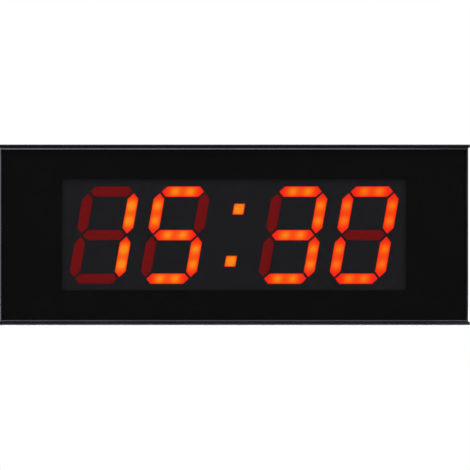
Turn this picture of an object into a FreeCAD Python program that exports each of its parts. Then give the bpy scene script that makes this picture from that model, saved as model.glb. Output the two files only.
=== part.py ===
import FreeCAD, Part
import os
import re
import Sketcher

# Digital wall clock: four LED digits and a colon behind one acrylic panel, held between two
# aluminium rails, with the driving electronics behind the LED board and keyholes in the rear cover.
#
# Millimetres. +X runs to the reader's right, +Z up, and the display faces -Y.
# The origin is the middle of the wall face, so a depth here is a distance in front of the wall.

SIZES = (
    ("case_length", "361.8", "rails from end to end"),
    ("case_height", "138.4", "underside of the bottom rail to the top of the top rail"),
    ("case_depth", "40", "wall face to the nose of the rails"),
    ("fit_gap", "0.15", "play of what slides into a groove or between the end plates"),
    ("body_gap", "0.3", "clearance round a button"),
    ("end_ear", "1.4", "how far the rails' outer walls stand past the end plates"),
    ("rail_wall", "2.4", "outer wall of a rail"),
    ("nose_radius", "0.8", "rounded front edge of the outer wall"),
    ("edge_radius", "0.4", "small rounded edges"),
    ("lip_height", "3.75", "outer face of a rail to the inner edge of its lip"),
    ("lip_setback", "0.6", "lip behind the nose"),
    ("lip_thickness", "1.2", "front to back of the lip"),
    ("lip_bevel", "0.85", "bevel along the inner edge of the lip, up its face"),
    ("lip_slope", "0.35", "how far that bevel leans back"),
    ("rib_thickness", "1.4", "ribs inside a rail"),
    ("panel_rib_height", "7", "outer face to the top of the rib behind the panel"),
    ("board_rib_height", "5.4", "outer face to the top of the ribs beside the LED board"),
    ("ledge_height", "9", "outer face to the edge of the ledge that carries the rear cover"),
    ("ledge_thickness", "2.4", "front to back of that ledge"),
    ("port_radius", "2.9", "outside of a screw port"),
    ("port_height", "5", "outer face of a rail to the axis of its screw ports"),
    ("port_stem", "3", "web between a screw port and the outer wall"),
    ("port_setback", "3.45", "rear face of the LED board to the axis of the screw ports"),
    ("end_plate_thickness", "1.5", "end plate"),
    ("panel_thickness", "3", "acrylic panel"),
    ("panel_chamfer", "0.4", "ground front edge of the panel"),
    ("mask_thickness", "0.25", "printed film"),
    ("window_length", "264.2", "clear window in the mask"),
    ("window_height", "85.4", "clear window in the mask"),
    ("window_radius", "2.6", "corners of the window"),
    ("display_drop", "0.3", "middle of the display below the middle of the case and its window"),
    ("reflector_overlap", "3.6", "reflector past the window on each side"),
    ("reflector_skin", "2", "face left in front of the cored spaces"),
    ("reflector_radius", "4", "corners of the reflector"),
    ("core_wall", "1.6", "wall between a cored space and the strokes round it"),
    ("seat_ledge", "0.7", "ledge that a diffuser rests on, round its light well"),
    ("reflector_peg", "3", "side of a peg that holds the reflector to the LED board"),
    ("reflector_peg_spacing", "214", "between the pegs, along the case"),
    ("reflector_peg_inset", "3.4", "pegs from the reflector's upper and lower edge"),
    ("digit_height", "74.9", "top of a digit to its foot"),
    ("digit_width", "43.15", "outer width of a digit, square to its height"),
    ("digit_slant", "10", "lean of the digits in degrees"),
    ("digit_pitch", "54.75", "from one digit to the next in a pair"),
    ("pair_pitch", "145.1", "from the hours to the minutes"),
    ("bar_stroke", "8.05", "thickness of a level segment"),
    ("upright_stroke", "8.35", "width of an upright segment"),
    ("segment_gap", "1.1", "tip of a segment to the middle line of the next"),
    ("segment_angle", "43", "point of a segment, from the upright, in degrees"),
    ("dot_size", "8.45", "side of a colon dot"),
    ("dot_height", "20", "colon dot above or below the display's middle"),
    ("dot_lean", "3.1", "colon dot to the side of the colon's middle"),
    ("colon_shift", "0.55", "colon to the right of the display's middle"),
    ("diffuser_gap", "0.05", "round a diffuser in its well"),
    ("diffuser_thickness", "2.2", "front to back of a diffuser"),
    ("led_length", "3.5", "LED along its stroke"),
    ("led_width", "2.8", "LED across its stroke"),
    ("led_thickness", "1.9", "LED above its board"),
    ("bar_led_spacing", "11.6", "between the two LEDs of a level segment"),
    ("upright_led_spacing", "11.8", "between the two LEDs of an upright segment"),
    ("board_thickness", "1.6", "both circuit boards"),
    ("board_spacing", "6.5", "between the two circuit boards"),
    ("peg_overhang", "1.2", "peg past the rear face of its board"),
    ("support_width", "5.6", "side of a pillar between the boards"),
    ("support_peg", "3.2", "side of its peg, which goes through the boards"),
    ("peg_gap", "0.2", "round a peg or pin in its hole"),
    ("control_length", "112", "control board along the case"),
    ("control_height", "49.5", "control board"),
    ("control_centre", "62", "control board to the right of the middle"),
    ("control_foot", "7.5", "underside of the case to the control board"),
    ("control_margin", "5", "edge of the control board to its supports"),
    ("screw_radius", "1.25", "thread of the case screws"),
    ("screw_head_radius", "2.3", "countersunk head of the case screws"),
    ("screw_length", "8", "case screws with their heads"),
    ("screw_clearance", "0.2", "round a screw in the hole that it passes"),
    ("cover_thickness", "2", "rear cover"),
    ("cover_screw_reach", "155", "middle of the case to the cover's screws"),
    ("cover_screw_inset", "5.6", "outer face of a rail to the cover's screws"),
    ("keyhole_spacing", "200", "between the two keyholes"),
    ("keyhole_height", "38", "keyholes above the middle"),
    ("keyhole_radius", "4.25", "round entry of a keyhole"),
    ("keyhole_slot_radius", "2.1", "half the width of its slot"),
    ("keyhole_slot_length", "8", "entry to the end of the slot"),
    ("button_spacing", "17", "between the buttons"),
    ("button_centre", "48", "middle button to the right of the middle of the case"),
    ("button_radius", "3", "button cap"),
    ("button_recess", "0.2", "button cap inside the underside"),
    ("button_collar", "0.9", "square collar past the cap, which keeps it in the case"),
    ("button_collar_height", "3.3", "collar"),
    ("button_travel", "0.5", "stroke of a push switch"),
    ("plunger_width", "3", "side of the square plunger of a push switch"),
    ("plunger_grip", "2", "plunger inside its cap"),
    ("switch_width", "6.2", "push switch along the case"),
    ("switch_height", "7.2", "push switch behind the control board"),
    ("switch_length", "4", "push switch, up from its plunger's mouth"),
    ("switch_axis", "3.6", "plunger behind the control board"),
    ("switch_rise", "7", "underside of the case to the mouth of a push switch"),
    ("plunger_hole_depth", "2.6", "blind hole that a plunger slides in"),
    ("socket_centre", "100", "power socket to the right of the middle"),
    ("socket_width", "9", "power socket along the case"),
    ("socket_height", "11", "power socket behind the control board"),
    ("socket_clearance", "0.95", "power socket to the rear cover"),
    ("socket_length", "14.2", "power socket, from its mouth"),
    ("socket_axis", "6.2", "bore of the socket behind the control board"),
    ("socket_bore_radius", "3.15", "bore of the power socket"),
    ("socket_bore_depth", "10", "bore of the power socket"),
    ("socket_pin_radius", "1", "centre pin"),
    ("socket_pin_length", "9", "centre pin in the bore"),
    ("socket_root_length", "2.5", "thin root of the centre pin in the socket's body"),
    ("socket_root", "1.2", "side of that root, which is square"),
    ("socket_recess", "0.3", "mouth of the socket inside the underside"),
    ("socket_gap", "0.25", "round the socket in its cut-out"),
    ("header_pins", "10", "pins that join the two boards"),
    ("header_pitch", "2.54", "between the header's pins"),
    ("header_width", "2.5", "plastic strip of the header"),
    ("header_pin", "0.64", "side of a square header pin"),
    ("header_rise", "8.5", "lower edge of the control board to the header"),
    ("chip_rise", "17", "lower edge of the control board to the middle of its chips"),
    ("driver_length", "10.3", "driver chip"),
    ("driver_width", "7.5", "driver chip"),
    ("driver_thickness", "2.3", "driver chip"),
    ("driver_spacing", "22", "between the driver chips"),
    ("controller_size", "12", "controller chip, square"),
    ("controller_thickness", "1.6", "controller chip"),
    ("capacitor_radius", "4", "smoothing capacitor"),
    ("capacitor_height", "9", "smoothing capacitor"),
    ("crystal_length", "11", "clock crystal's can"),
    ("crystal_width", "4.6", "clock crystal's can"),
    ("crystal_height", "3.5", "clock crystal's can"),
    ("cell_radius", "10", "backup battery"),
    ("cell_thickness", "3.2", "backup battery"),
    ("holder_wall", "1.6", "rim and floor of the battery holder"),
    ("holder_mouth", "12", "gap in the holder's rim, for a fingertip"),
)

doc = FreeCAD.newDocument("digital_wall_clock")
sheet = doc.addObject("Spreadsheet::Sheet", "sizes")
for row, (alias, value, note) in enumerate(SIZES, start=1):
    sheet.set(f"A{row}", alias.replace("_", " "))
    sheet.set(f"B{row}", value)
    sheet.setAlias(f"B{row}", alias)
    sheet.set(f"C{row}", note)
doc.recompute()

ALIASES = re.compile(r"\b(" + "|".join(name for name, value, note in SIZES) + r")\b")

# Depths: distances in front of the wall, from the rear face of a piece to its front.
GROOVE_FRONT = "(case_depth - lip_setback - lip_thickness)"
PANEL_FRONT = f"({GROOVE_FRONT} - fit_gap)"
MASK_FRONT = f"({PANEL_FRONT} - panel_thickness)"
GROOVE_BACK = f"({MASK_FRONT} - mask_thickness)"
REFLECTOR_FRONT = f"({GROOVE_BACK} - fit_gap)"
CONTROL_BACK = "(cover_thickness + socket_clearance + socket_height)"
CONTROL_FRONT = f"({CONTROL_BACK} + board_thickness)"
LED_BOARD_BACK = f"({CONTROL_FRONT} + board_spacing)"
LED_BOARD_FRONT = f"({LED_BOARD_BACK} + board_thickness)"
REFLECTOR_DEPTH = f"({REFLECTOR_FRONT} - {LED_BOARD_FRONT})"
PORT_DEPTH = f"({LED_BOARD_BACK} - port_setback)"
BUTTON_DEPTH = f"({CONTROL_BACK} - switch_axis)"
SOCKET_DEPTH = f"({CONTROL_BACK} - socket_axis)"

# Distances along the case, from its middle.
PLATE_OUTSIDE = "(case_length / 2 - end_ear)"
PLATE_INSIDE = f"({PLATE_OUTSIDE} - end_plate_thickness)"
PIECE_END = f"({PLATE_INSIDE} - fit_gap)"
DIGIT_CENTRES = {
    "hour_tens": "(-pair_pitch / 2 - digit_pitch / 2)",
    "hour_units": "(-pair_pitch / 2 + digit_pitch / 2)",
    "minute_tens": "(pair_pitch / 2 - digit_pitch / 2)",
    "minute_units": "(pair_pitch / 2 + digit_pitch / 2)",
}
CONTROL_LEFT = "(control_centre - control_length / 2)"
FIRST_PIN = "(control_centre - (header_pins - 1) * header_pitch / 2)"
CELL_CENTRE = f"({CONTROL_LEFT} + cell_radius + holder_wall + 2 * control_margin)"

# Heights, from the middle of the case.
WALL_INSIDE = "(case_height / 2 - rail_wall)"
UNDERSIDE = "(-case_height / 2)"
PORT_HEIGHT = "(case_height / 2 - port_height)"
COVER_SCREW_HEIGHT = "(case_height / 2 - cover_screw_inset)"
REFLECTOR_HEIGHT = "(window_height + 2 * reflector_overlap)"
REFLECTOR_LENGTH = "(window_length + 2 * reflector_overlap)"
REFLECTOR_PEG_HEIGHT = f"({REFLECTOR_HEIGHT} / 2 - reflector_peg_inset)"
DISPLAY_MIDDLE = "(-display_drop)"
CONTROL_LOW = f"({UNDERSIDE} + control_foot)"
CONTROL_HIGH = f"({CONTROL_LOW} + control_height)"
SWITCH_MOUTH = f"({UNDERSIDE} + switch_rise)"
SOCKET_MOUTH = f"({UNDERSIDE} + socket_recess)"
HEADER_HEIGHT = f"({CONTROL_LOW} + header_rise)"
CHIP_ROW = f"({CONTROL_LOW} + chip_rise)"
CELL_HEIGHT = f"({CONTROL_HIGH} - cell_radius - 2 * holder_wall)"


def bound(text):
    """The expression with each size read from the sheet."""
    return ALIASES.sub(r"sizes.\1", str(text))


def value_of(text):
    """The number that an expression gives now."""
    return float(sheet.evalExpression(bound(text)))


def new_body(name):
    body = doc.addObject("PartDesign::Body", name)
    body.Label = name
    body.AllowCompound = True
    return body


def origin_part(body, role):
    return next(part for part in body.Origin.OriginFeatures if part.Role == role)


def add_sketch(body, plane, offset="0"):
    """A sketch on one of the body's own planes, moved along the plane's normal."""
    sketch = body.newObject("Sketcher::SketchObject", f"{body.Name}_sketch")
    sketch.AttachmentSupport = (origin_part(body, plane), [""])
    sketch.MapMode = "FlatFace"
    sketch.setExpression("AttachmentOffset.Base.z", bound(offset))
    return sketch


def place_point(sketch, curve, point, across, up):
    """Holds one point of a curve at two distances from the sketch's origin."""
    for kind, text in (("DistanceX", across), ("DistanceY", up)):
        index = sketch.addConstraint(Sketcher.Constraint(kind, curve, point, value_of(text)))
        sketch.setExpression(f"Constraints[{index}]", bound(text))


def add_outline(sketch, points):
    """A closed outline of straight lines through points given as pairs of expressions."""
    corners = [FreeCAD.Vector(value_of(across), value_of(up), 0) for across, up in points]
    first = sketch.GeometryCount
    for start, end in zip(corners, corners[1:] + corners[:1]):
        sketch.addGeometry(Part.LineSegment(start, end))
    for index in range(len(points)):
        after = first + (index + 1) % len(points)
        sketch.addConstraint(Sketcher.Constraint("Coincident", first + index, 2, after, 1))
    for index, (across, up) in enumerate(points):
        place_point(sketch, first + index, 1, across, up)


def add_rectangle(sketch, left, right, low, high):
    add_outline(sketch, [(left, low), (right, low), (right, high), (left, high)])


def add_circle(sketch, across, up, radius):
    centre = FreeCAD.Vector(value_of(across), value_of(up), 0)
    axis = FreeCAD.Vector(0, 0, 1)
    curve = sketch.addGeometry(Part.Circle(centre, axis, value_of(radius)))
    place_point(sketch, curve, 3, across, up)
    index = sketch.addConstraint(Sketcher.Constraint("Radius", curve, value_of(radius)))
    sketch.setExpression(f"Constraints[{index}]", bound(radius))


def add_square(sketch, across, up, length, width=None):
    """A rectangle round a middle point: a square where no width is given."""
    width = width or length
    add_rectangle(
        sketch,
        f"{across} - {length} / 2", f"{across} + {length} / 2",
        f"{up} - {width} / 2", f"{up} + {width} / 2",
    )


def add_feature(body, kind, sketch, length, reverse=False):
    feature = body.newObject(f"PartDesign::{kind}", f"{body.Name}_{kind.lower()}")
    feature.Profile = sketch
    feature.setExpression("Length", bound(length))
    feature.Reversed = reverse
    doc.recompute()
    return feature


def add_pad(body, sketch, length, reverse=False):
    return add_feature(body, "Pad", sketch, length, reverse)


def add_pocket(body, sketch, length, reverse=False):
    """Cuts the sketch into the body, and stops if it cuts nothing."""
    before = body.Shape.Volume
    pocket = add_feature(body, "Pocket", sketch, length, reverse)
    if body.Shape.Volume > before - 0.01:
        raise ValueError(f"{pocket.Name} cuts nothing")
    return pocket


def round_edges(body, radius, choose, chamfer=False):
    """Rounds or chamfers the edges of the body that the choose function picks by their ends."""
    names = []
    for index, edge in enumerate(body.Shape.Edges, start=1):
        ends = [vertex.Point for vertex in edge.Vertexes]
        if len(ends) == 2 and choose(*ends):
            names.append(f"Edge{index}")
    if not names:
        raise ValueError(f"{body.Name} has no such edges")
    kind, size = ("Chamfer", "Size") if chamfer else ("Fillet", "Radius")
    base = body.Tip
    feature = body.newObject(f"PartDesign::{kind}", f"{body.Name}_{kind.lower()}")
    feature.Base = (base, names)
    feature.setExpression(size, bound(radius))
    doc.recompute()
    return feature


def near(first, second):
    return abs(first - second) < 1e-4


def along_y(start, end):
    """An edge that runs front to back."""
    return near(start.x, end.x) and near(start.z, end.z)


def line_pattern(axis, spacing, copies):
    def make(body):
        pattern = doc.addObject("PartDesign::LinearPattern", f"{body.Name}_line")
        pattern.Direction = (origin_part(body, axis), [""])
        pattern.Mode = "Spacing"
        pattern.setExpression("Offset", bound(spacing))
        pattern.setExpression("Occurrences", bound(copies))
        return pattern
    return make


def mirror_pattern(plane):
    def make(body):
        mirror = doc.addObject("PartDesign::Mirrored", f"{body.Name}_mirror")
        mirror.MirrorPlane = (origin_part(body, plane), [""])
        return mirror
    return make


def repeat(body, features, *patterns):
    """Repeats features of the body by one pattern after the other."""
    transform = body.newObject("PartDesign::MultiTransform", f"{body.Name}_copies")
    transform.Originals = features
    transform.Transformations = [pattern(body) for pattern in patterns]
    body.Tip = transform
    doc.recompute()
    return transform


def face_outline(sketch):
    """A rectangle that fits between the rails' outer walls and between the end plates."""
    edge = f"({WALL_INSIDE} - fit_gap)"
    add_rectangle(sketch, f"-{PIECE_END}", PIECE_END, f"-{edge}", edge)


# Case

def rail(name, side):
    """An extruded rail: side is 1 for the top rail and -1 for the bottom one."""
    rib_back = f"({GROOVE_BACK} - rib_thickness)"
    slot_front = f"({LED_BOARD_FRONT} + fit_gap / 2)"
    slot_back = f"({LED_BOARD_BACK} - fit_gap / 2)"
    lip_front = "(case_depth - lip_setback)"
    ledge_front = "(cover_thickness + ledge_thickness)"
    section = (
        ("0", "0"),
        ("case_depth", "0"),
        ("case_depth", "rail_wall"),
        (lip_front, "rail_wall"),
        (lip_front, "(lip_height - lip_bevel)"),
        (f"({lip_front} - lip_slope)", "lip_height"),
        (GROOVE_FRONT, "lip_height"),
        (GROOVE_FRONT, "rail_wall"),
        (GROOVE_BACK, "rail_wall"),
        (GROOVE_BACK, "panel_rib_height"),
        (rib_back, "panel_rib_height"),
        (rib_back, "rail_wall"),
        (f"({slot_front} + rib_thickness)", "rail_wall"),
        (f"({slot_front} + rib_thickness)", "board_rib_height"),
        (slot_front, "board_rib_height"),
        (slot_front, "rail_wall"),
        (slot_back, "rail_wall"),
        (slot_back, "board_rib_height"),
        (f"({slot_back} - rib_thickness)", "board_rib_height"),
        (f"({slot_back} - rib_thickness)", "rail_wall"),
        (ledge_front, "rail_wall"),
        (ledge_front, "ledge_height"),
        ("cover_thickness", "ledge_height"),
        ("cover_thickness", "rail_wall"),
        ("0", "rail_wall"),
    )
    body = new_body(name)
    sketch = add_sketch(body, "YZ_Plane")
    level = f"{side} * (case_height / 2 - %s)"
    add_outline(sketch, [(f"-({depth})", level % height) for depth, height in section])
    pad = add_pad(body, sketch, "case_length")
    pad.SideType = "Symmetric"
    doc.recompute()
    port = add_sketch(body, "YZ_Plane")
    axis = f"{side} * {PORT_HEIGHT}"
    add_circle(port, f"-{PORT_DEPTH}", axis, "port_radius")
    stem = add_sketch(body, "YZ_Plane")
    wall = f"{side} * {WALL_INSIDE}"
    add_rectangle(stem, f"-{PORT_DEPTH} - port_stem / 2", f"-{PORT_DEPTH} + port_stem / 2", axis, wall)
    for sketch in (port, stem):
        pad = add_pad(body, sketch, "case_length")
        pad.SideType = "Symmetric"
        doc.recompute()
    for radius, depth in (("nose_radius", "case_depth"), ("edge_radius", "0")):
        y, z = value_of(f"-{depth}"), value_of(level % "0")
        round_edges(body, radius, lambda *ends: all(near(at.y, y) and near(at.z, z) for at in ends))

    # The ends are milled back to the outer wall: the lip as far as the end plate's outer face, and
    # what lies behind the lip as far as its inner face.
    milling = add_sketch(body, "XY_Plane", f"{side} * {WALL_INSIDE}")
    add_outline(milling, (
        (PLATE_OUTSIDE, "-case_depth"),
        ("case_length / 2", "-case_depth"),
        ("case_length / 2", "0"),
        (PLATE_INSIDE, "0"),
        (PLATE_INSIDE, f"-{GROOVE_FRONT}"),
        (PLATE_OUTSIDE, f"-{GROOVE_FRONT}"),
    ))
    cut = add_pocket(body, milling, "ledge_height", reverse=side < 0)
    repeat(body, [cut], mirror_pattern("YZ_Plane"))

    bore = add_sketch(body, "YZ_Plane", PLATE_INSIDE)
    add_circle(bore, f"-{PORT_DEPTH}", axis, "screw_radius")
    add_pocket(body, bore, f"2 * {PLATE_INSIDE}")

    pilots = add_sketch(body, "XZ_Plane", "cover_thickness")
    for hand in ("-", ""):
        add_circle(pilots, f"{hand}cover_screw_reach", f"{side} * {COVER_SCREW_HEIGHT}", "screw_radius")
    add_pocket(body, pilots, "ledge_thickness", reverse=True)
    return body


def button_centre(index):
    """Where a button stands along the case: index is -1, 0 or 1."""
    return f"(button_centre + {index} * button_spacing)"


def bottom_rail():
    body = rail("bottom_rail", -1)
    holes = add_sketch(body, "XY_Plane", UNDERSIDE)
    for index in (-1, 0, 1):
        add_circle(holes, button_centre(index), f"-{BUTTON_DEPTH}", "button_radius + body_gap")
    add_pocket(body, holes, "rail_wall", reverse=True)
    window = add_sketch(body, "XY_Plane", UNDERSIDE)
    add_rectangle(
        window,
        "socket_centre - socket_width / 2 - socket_gap",
        "socket_centre + socket_width / 2 + socket_gap",
        f"-({CONTROL_BACK} + socket_gap)",
        f"-({CONTROL_BACK} - socket_height - socket_gap)",
    )
    add_pocket(body, window, "ledge_height", reverse=True)


def end_plate(name, side):
    """A flat plate between the rails' outer walls, against the ends of their ribs and ports."""
    body = new_body(name)
    outside = f"{side} * {PLATE_OUTSIDE}"
    sketch = add_sketch(body, "YZ_Plane", outside)
    add_rectangle(sketch, f"-{GROOVE_FRONT}", "0", f"-{WALL_INSIDE}", WALL_INSIDE)
    add_pad(body, sketch, "end_plate_thickness", reverse=side > 0)
    holes = add_sketch(body, "YZ_Plane", outside)
    for hand in ("-", ""):
        add_circle(holes, f"-{PORT_DEPTH}", f"{hand}{PORT_HEIGHT}", "screw_radius + screw_clearance")
    add_countersinks(body, holes, reverse=side < 0)


def add_countersinks(body, holes, reverse):
    """Countersunk holes on the sketch's circles, right through the plate."""
    hole = body.newObject("PartDesign::Hole", f"{body.Name}_hole")
    hole.Profile = holes
    doc.recompute()
    hole.DepthType = "ThroughAll"
    hole.Reversed = reverse
    hole.setExpression("Diameter", bound("2 * (screw_radius + screw_clearance)"))
    hole.HoleCutType = "Countersink"
    hole.HoleCutCustomValues = True
    hole.setExpression("HoleCutDiameter", bound("2 * (screw_head_radius + screw_clearance)"))
    hole.HoleCutCountersinkAngle = 90
    doc.recompute()


def countersunk_screw(body, plane, normal_side, face, across, up):
    """A countersunk screw that goes into the face, square to the plane."""
    reverse = normal_side < 0
    cone = add_sketch(body, plane, face)
    add_circle(cone, across, up, "screw_head_radius")
    head = add_pad(body, cone, "screw_head_radius - screw_radius", reverse=not reverse)
    head.TaperAngle = -45
    rod = add_sketch(body, plane, face)
    add_circle(rod, across, up, "screw_radius")
    shank = add_pad(body, rod, "screw_length", reverse=not reverse)
    return [head, shank]


def end_plate_screws():
    body = new_body("end_plate_screws")
    features = countersunk_screw(body, "YZ_Plane", 1, PLATE_OUTSIDE, f"-{PORT_DEPTH}", PORT_HEIGHT)
    repeat(body, features, mirror_pattern("XY_Plane"), mirror_pattern("YZ_Plane"))


def rear_cover():
    body = new_body("rear_cover")
    sketch = add_sketch(body, "XZ_Plane")
    face_outline(sketch)
    add_pad(body, sketch, "cover_thickness")
    entries = add_sketch(body, "XZ_Plane")
    slots = add_sketch(body, "XZ_Plane")
    top = "keyhole_height + keyhole_slot_length"
    for hand in ("-", ""):
        across = f"{hand}keyhole_spacing / 2"
        add_circle(entries, across, "keyhole_height", "keyhole_radius")
        add_circle(entries, across, top, "keyhole_slot_radius")
        left, right = f"{across} - keyhole_slot_radius", f"{across} + keyhole_slot_radius"
        add_rectangle(slots, left, right, "keyhole_height", top)
    add_pocket(body, entries, "cover_thickness", reverse=True)
    add_pocket(body, slots, "cover_thickness", reverse=True)
    holes = add_sketch(body, "XZ_Plane")
    for across in ("-cover_screw_reach", "cover_screw_reach"):
        for hand in ("-", ""):
            add_circle(holes, across, f"{hand}{COVER_SCREW_HEIGHT}", "screw_radius + screw_clearance")
    add_countersinks(body, holes, reverse=True)


def rear_cover_screws():
    body = new_body("rear_cover_screws")
    features = countersunk_screw(body, "XZ_Plane", -1, "0", "cover_screw_reach", COVER_SCREW_HEIGHT)
    repeat(body, features, mirror_pattern("XY_Plane"), mirror_pattern("YZ_Plane"))


# Display

def front_panel():
    body = new_body("front_panel")
    sketch = add_sketch(body, "XZ_Plane", MASK_FRONT)
    face_outline(sketch)
    add_pad(body, sketch, "panel_thickness")
    front = value_of(f"-{PANEL_FRONT}")
    in_front = lambda start, end: near(start.y, front) and near(end.y, front)
    round_edges(body, "panel_chamfer", in_front, chamfer=True)


def window_mask():
    body = new_body("window_mask")
    sketch = add_sketch(body, "XZ_Plane", GROOVE_BACK)
    face_outline(sketch)
    add_pad(body, sketch, "mask_thickness")
    window = add_sketch(body, "XZ_Plane", MASK_FRONT)
    add_square(window, "0", "0", "window_length", "window_height")
    add_pocket(body, window, "mask_thickness")
    side = value_of("window_length / 2")
    at_window = lambda start, end: along_y(start, end) and near(abs(start.x), side)
    round_edges(body, "window_radius", at_window)


def slanted(across, up):
    """A point of an upright figure, moved sideways by the digits' slant."""
    return f"{across} + ({up}) * tan(digit_slant)", up


def level_segment(middle, inset):
    """A bar with pointed ends, at a height in the digit."""
    half = f"(bar_stroke / 2 - {inset})"
    run = f"({half} * tan(segment_angle))"
    tip = f"(digit_width / 2 - upright_stroke / 2 - segment_gap - {inset} / cos(segment_angle))"
    return (
        (f"-{tip}", middle),
        (f"-({tip} - {run})", f"{middle} + {half}"),
        (f"({tip} - {run})", f"{middle} + {half}"),
        (tip, middle),
        (f"({tip} - {run})", f"{middle} - {half}"),
        (f"-({tip} - {run})", f"{middle} - {half}"),
    )


def upright_segment(hand, low, high, inset):
    """A bar with pointed ends, to one side of the digit: hand is 1 for its right side."""
    centre = f"{hand} * (digit_width - upright_stroke) / 2"
    half = f"(upright_stroke / 2 - {inset})"
    rise = f"({half} / tan(segment_angle))"
    foot = f"({low} + {inset} / sin(segment_angle))"
    head = f"({high} - {inset} / sin(segment_angle))"
    return (
        (centre, foot),
        (f"{centre} + {half}", f"{foot} + {rise}"),
        (f"{centre} + {half}", f"{head} - {rise}"),
        (centre, head),
        (f"{centre} - {half}", f"{head} - {rise}"),
        (f"{centre} - {half}", f"{foot} + {rise}"),
    )


def segment_outlines(inset):
    """The seven segments of a digit about its own middle, each drawn in by inset."""
    bar = "(digit_height / 2 - bar_stroke / 2)"
    head = f"({bar} - segment_gap)"
    return {
        "a": level_segment(bar, inset),
        "b": upright_segment(1, "segment_gap", head, inset),
        "c": upright_segment(1, f"-{head}", "-segment_gap", inset),
        "d": level_segment(f"-{bar}", inset),
        "e": upright_segment(-1, f"-{head}", "-segment_gap", inset),
        "f": upright_segment(-1, "segment_gap", head, inset),
        "g": level_segment("0", inset),
    }


def dot_outline(hand, inset):
    """A colon dot: a square that leans with the digits. hand is 1 for the upper dot."""
    half = f"(dot_size / 2 - {inset})"
    lean = f"{half} * tan(digit_slant)"
    middle, level = f"{hand} * dot_lean + colon_shift", f"{hand} * dot_height"
    return (
        (f"{middle} - {half} - {lean}", f"{level} - {half}"),
        (f"{middle} + {half} - {lean}", f"{level} - {half}"),
        (f"{middle} + {half} + {lean}", f"{level} + {half}"),
        (f"{middle} - {half} + {lean}", f"{level} + {half}"),
    )


# Where each step of a well starts, how far it is drawn in, and how deep it goes: the seat of the
# diffuser, then the light well.
WELL_STEPS = (
    (REFLECTOR_FRONT, "0", "diffuser_thickness"),
    (f"{REFLECTOR_FRONT} - diffuser_thickness", "seat_ledge", f"{REFLECTOR_DEPTH} - diffuser_thickness"),
)


def core_outline(hand):
    """The cored space inside the upper or lower loop of a digit."""
    half = "(digit_width / 2 - upright_stroke - core_wall)"
    low = "(bar_stroke / 2 + core_wall)"
    high = "(digit_height / 2 - bar_stroke - core_wall)"
    low, high = (low, high) if hand > 0 else (f"-{high}", f"-{low}")
    return [slanted(*point) for point in ((f"-{half}", low), (half, low), (half, high), (f"-{half}", high))]


def display_reflector():
    """The moulded face: a seat for every diffuser, a narrower light well behind it, and cored spaces."""
    body = new_body("display_reflector")
    sketch = add_sketch(body, "XZ_Plane", LED_BOARD_FRONT)
    add_square(sketch, "0", "0", REFLECTOR_LENGTH, REFLECTOR_HEIGHT)
    add_pad(body, sketch, REFLECTOR_DEPTH)
    round_edges(body, "reflector_radius", along_y)

    centre = DIGIT_CENTRES["hour_tens"]
    cuts = []
    for offset, inset, depth in WELL_STEPS:
        sketch = add_sketch(body, "XZ_Plane", offset)
        for outline in segment_outlines(inset).values():
            points = [slanted(*point) for point in outline]
            add_outline(sketch, [(f"{centre} + {across}", up) for across, up in points])
        cuts.append(add_pocket(body, sketch, depth))
    cores = add_sketch(body, "XZ_Plane", LED_BOARD_FRONT)
    for hand in (1, -1):
        add_outline(cores, [(f"{centre} + {across}", up) for across, up in core_outline(hand)])
    cuts.append(add_pocket(body, cores, f"{REFLECTOR_DEPTH} - reflector_skin", reverse=True))
    repeat(
        body, cuts,
        line_pattern("X_Axis", "digit_pitch", "2"),
        line_pattern("X_Axis", "pair_pitch", "2"),
    )

    for offset, inset, depth in WELL_STEPS:
        dots = add_sketch(body, "XZ_Plane", offset)
        for hand in (1, -1):
            add_outline(dots, dot_outline(hand, inset))
        add_pocket(body, dots, depth)
    pegs = add_sketch(body, "XZ_Plane", LED_BOARD_FRONT)
    for across, up in reflector_peg_places():
        add_square(pegs, across, up, "reflector_peg")
    add_pad(body, pegs, "board_thickness + peg_overhang", reverse=True)
    body.setExpression("Placement.Base.z", bound(DISPLAY_MIDDLE))


def reflector_peg_places():
    """The pegs about the display's own middle."""
    sides = ("-reflector_peg_spacing / 2", "reflector_peg_spacing / 2")
    return [(across, f"{hand}{REFLECTOR_PEG_HEIGHT}") for across in sides for hand in ("-", "")]


def diffuser(name, centre, outline):
    """A translucent piece that seats in the mouth of its well."""
    body = new_body(name)
    sketch = add_sketch(body, "XZ_Plane", REFLECTOR_FRONT)
    add_outline(sketch, outline)
    add_pad(body, sketch, "diffuser_thickness", reverse=True)
    body.setExpression("Placement.Base.x", bound(centre))
    body.setExpression("Placement.Base.z", bound(DISPLAY_MIDDLE))


def diffusers():
    for digit, centre in DIGIT_CENTRES.items():
        for letter, outline in segment_outlines("diffuser_gap").items():
            diffuser(f"{digit}_segment_{letter}", centre, [slanted(*point) for point in outline])
    diffuser("colon_upper_dot", "0", dot_outline(1, "diffuser_gap"))
    diffuser("colon_lower_dot", "0", dot_outline(-1, "diffuser_gap"))


# LED board

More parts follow.
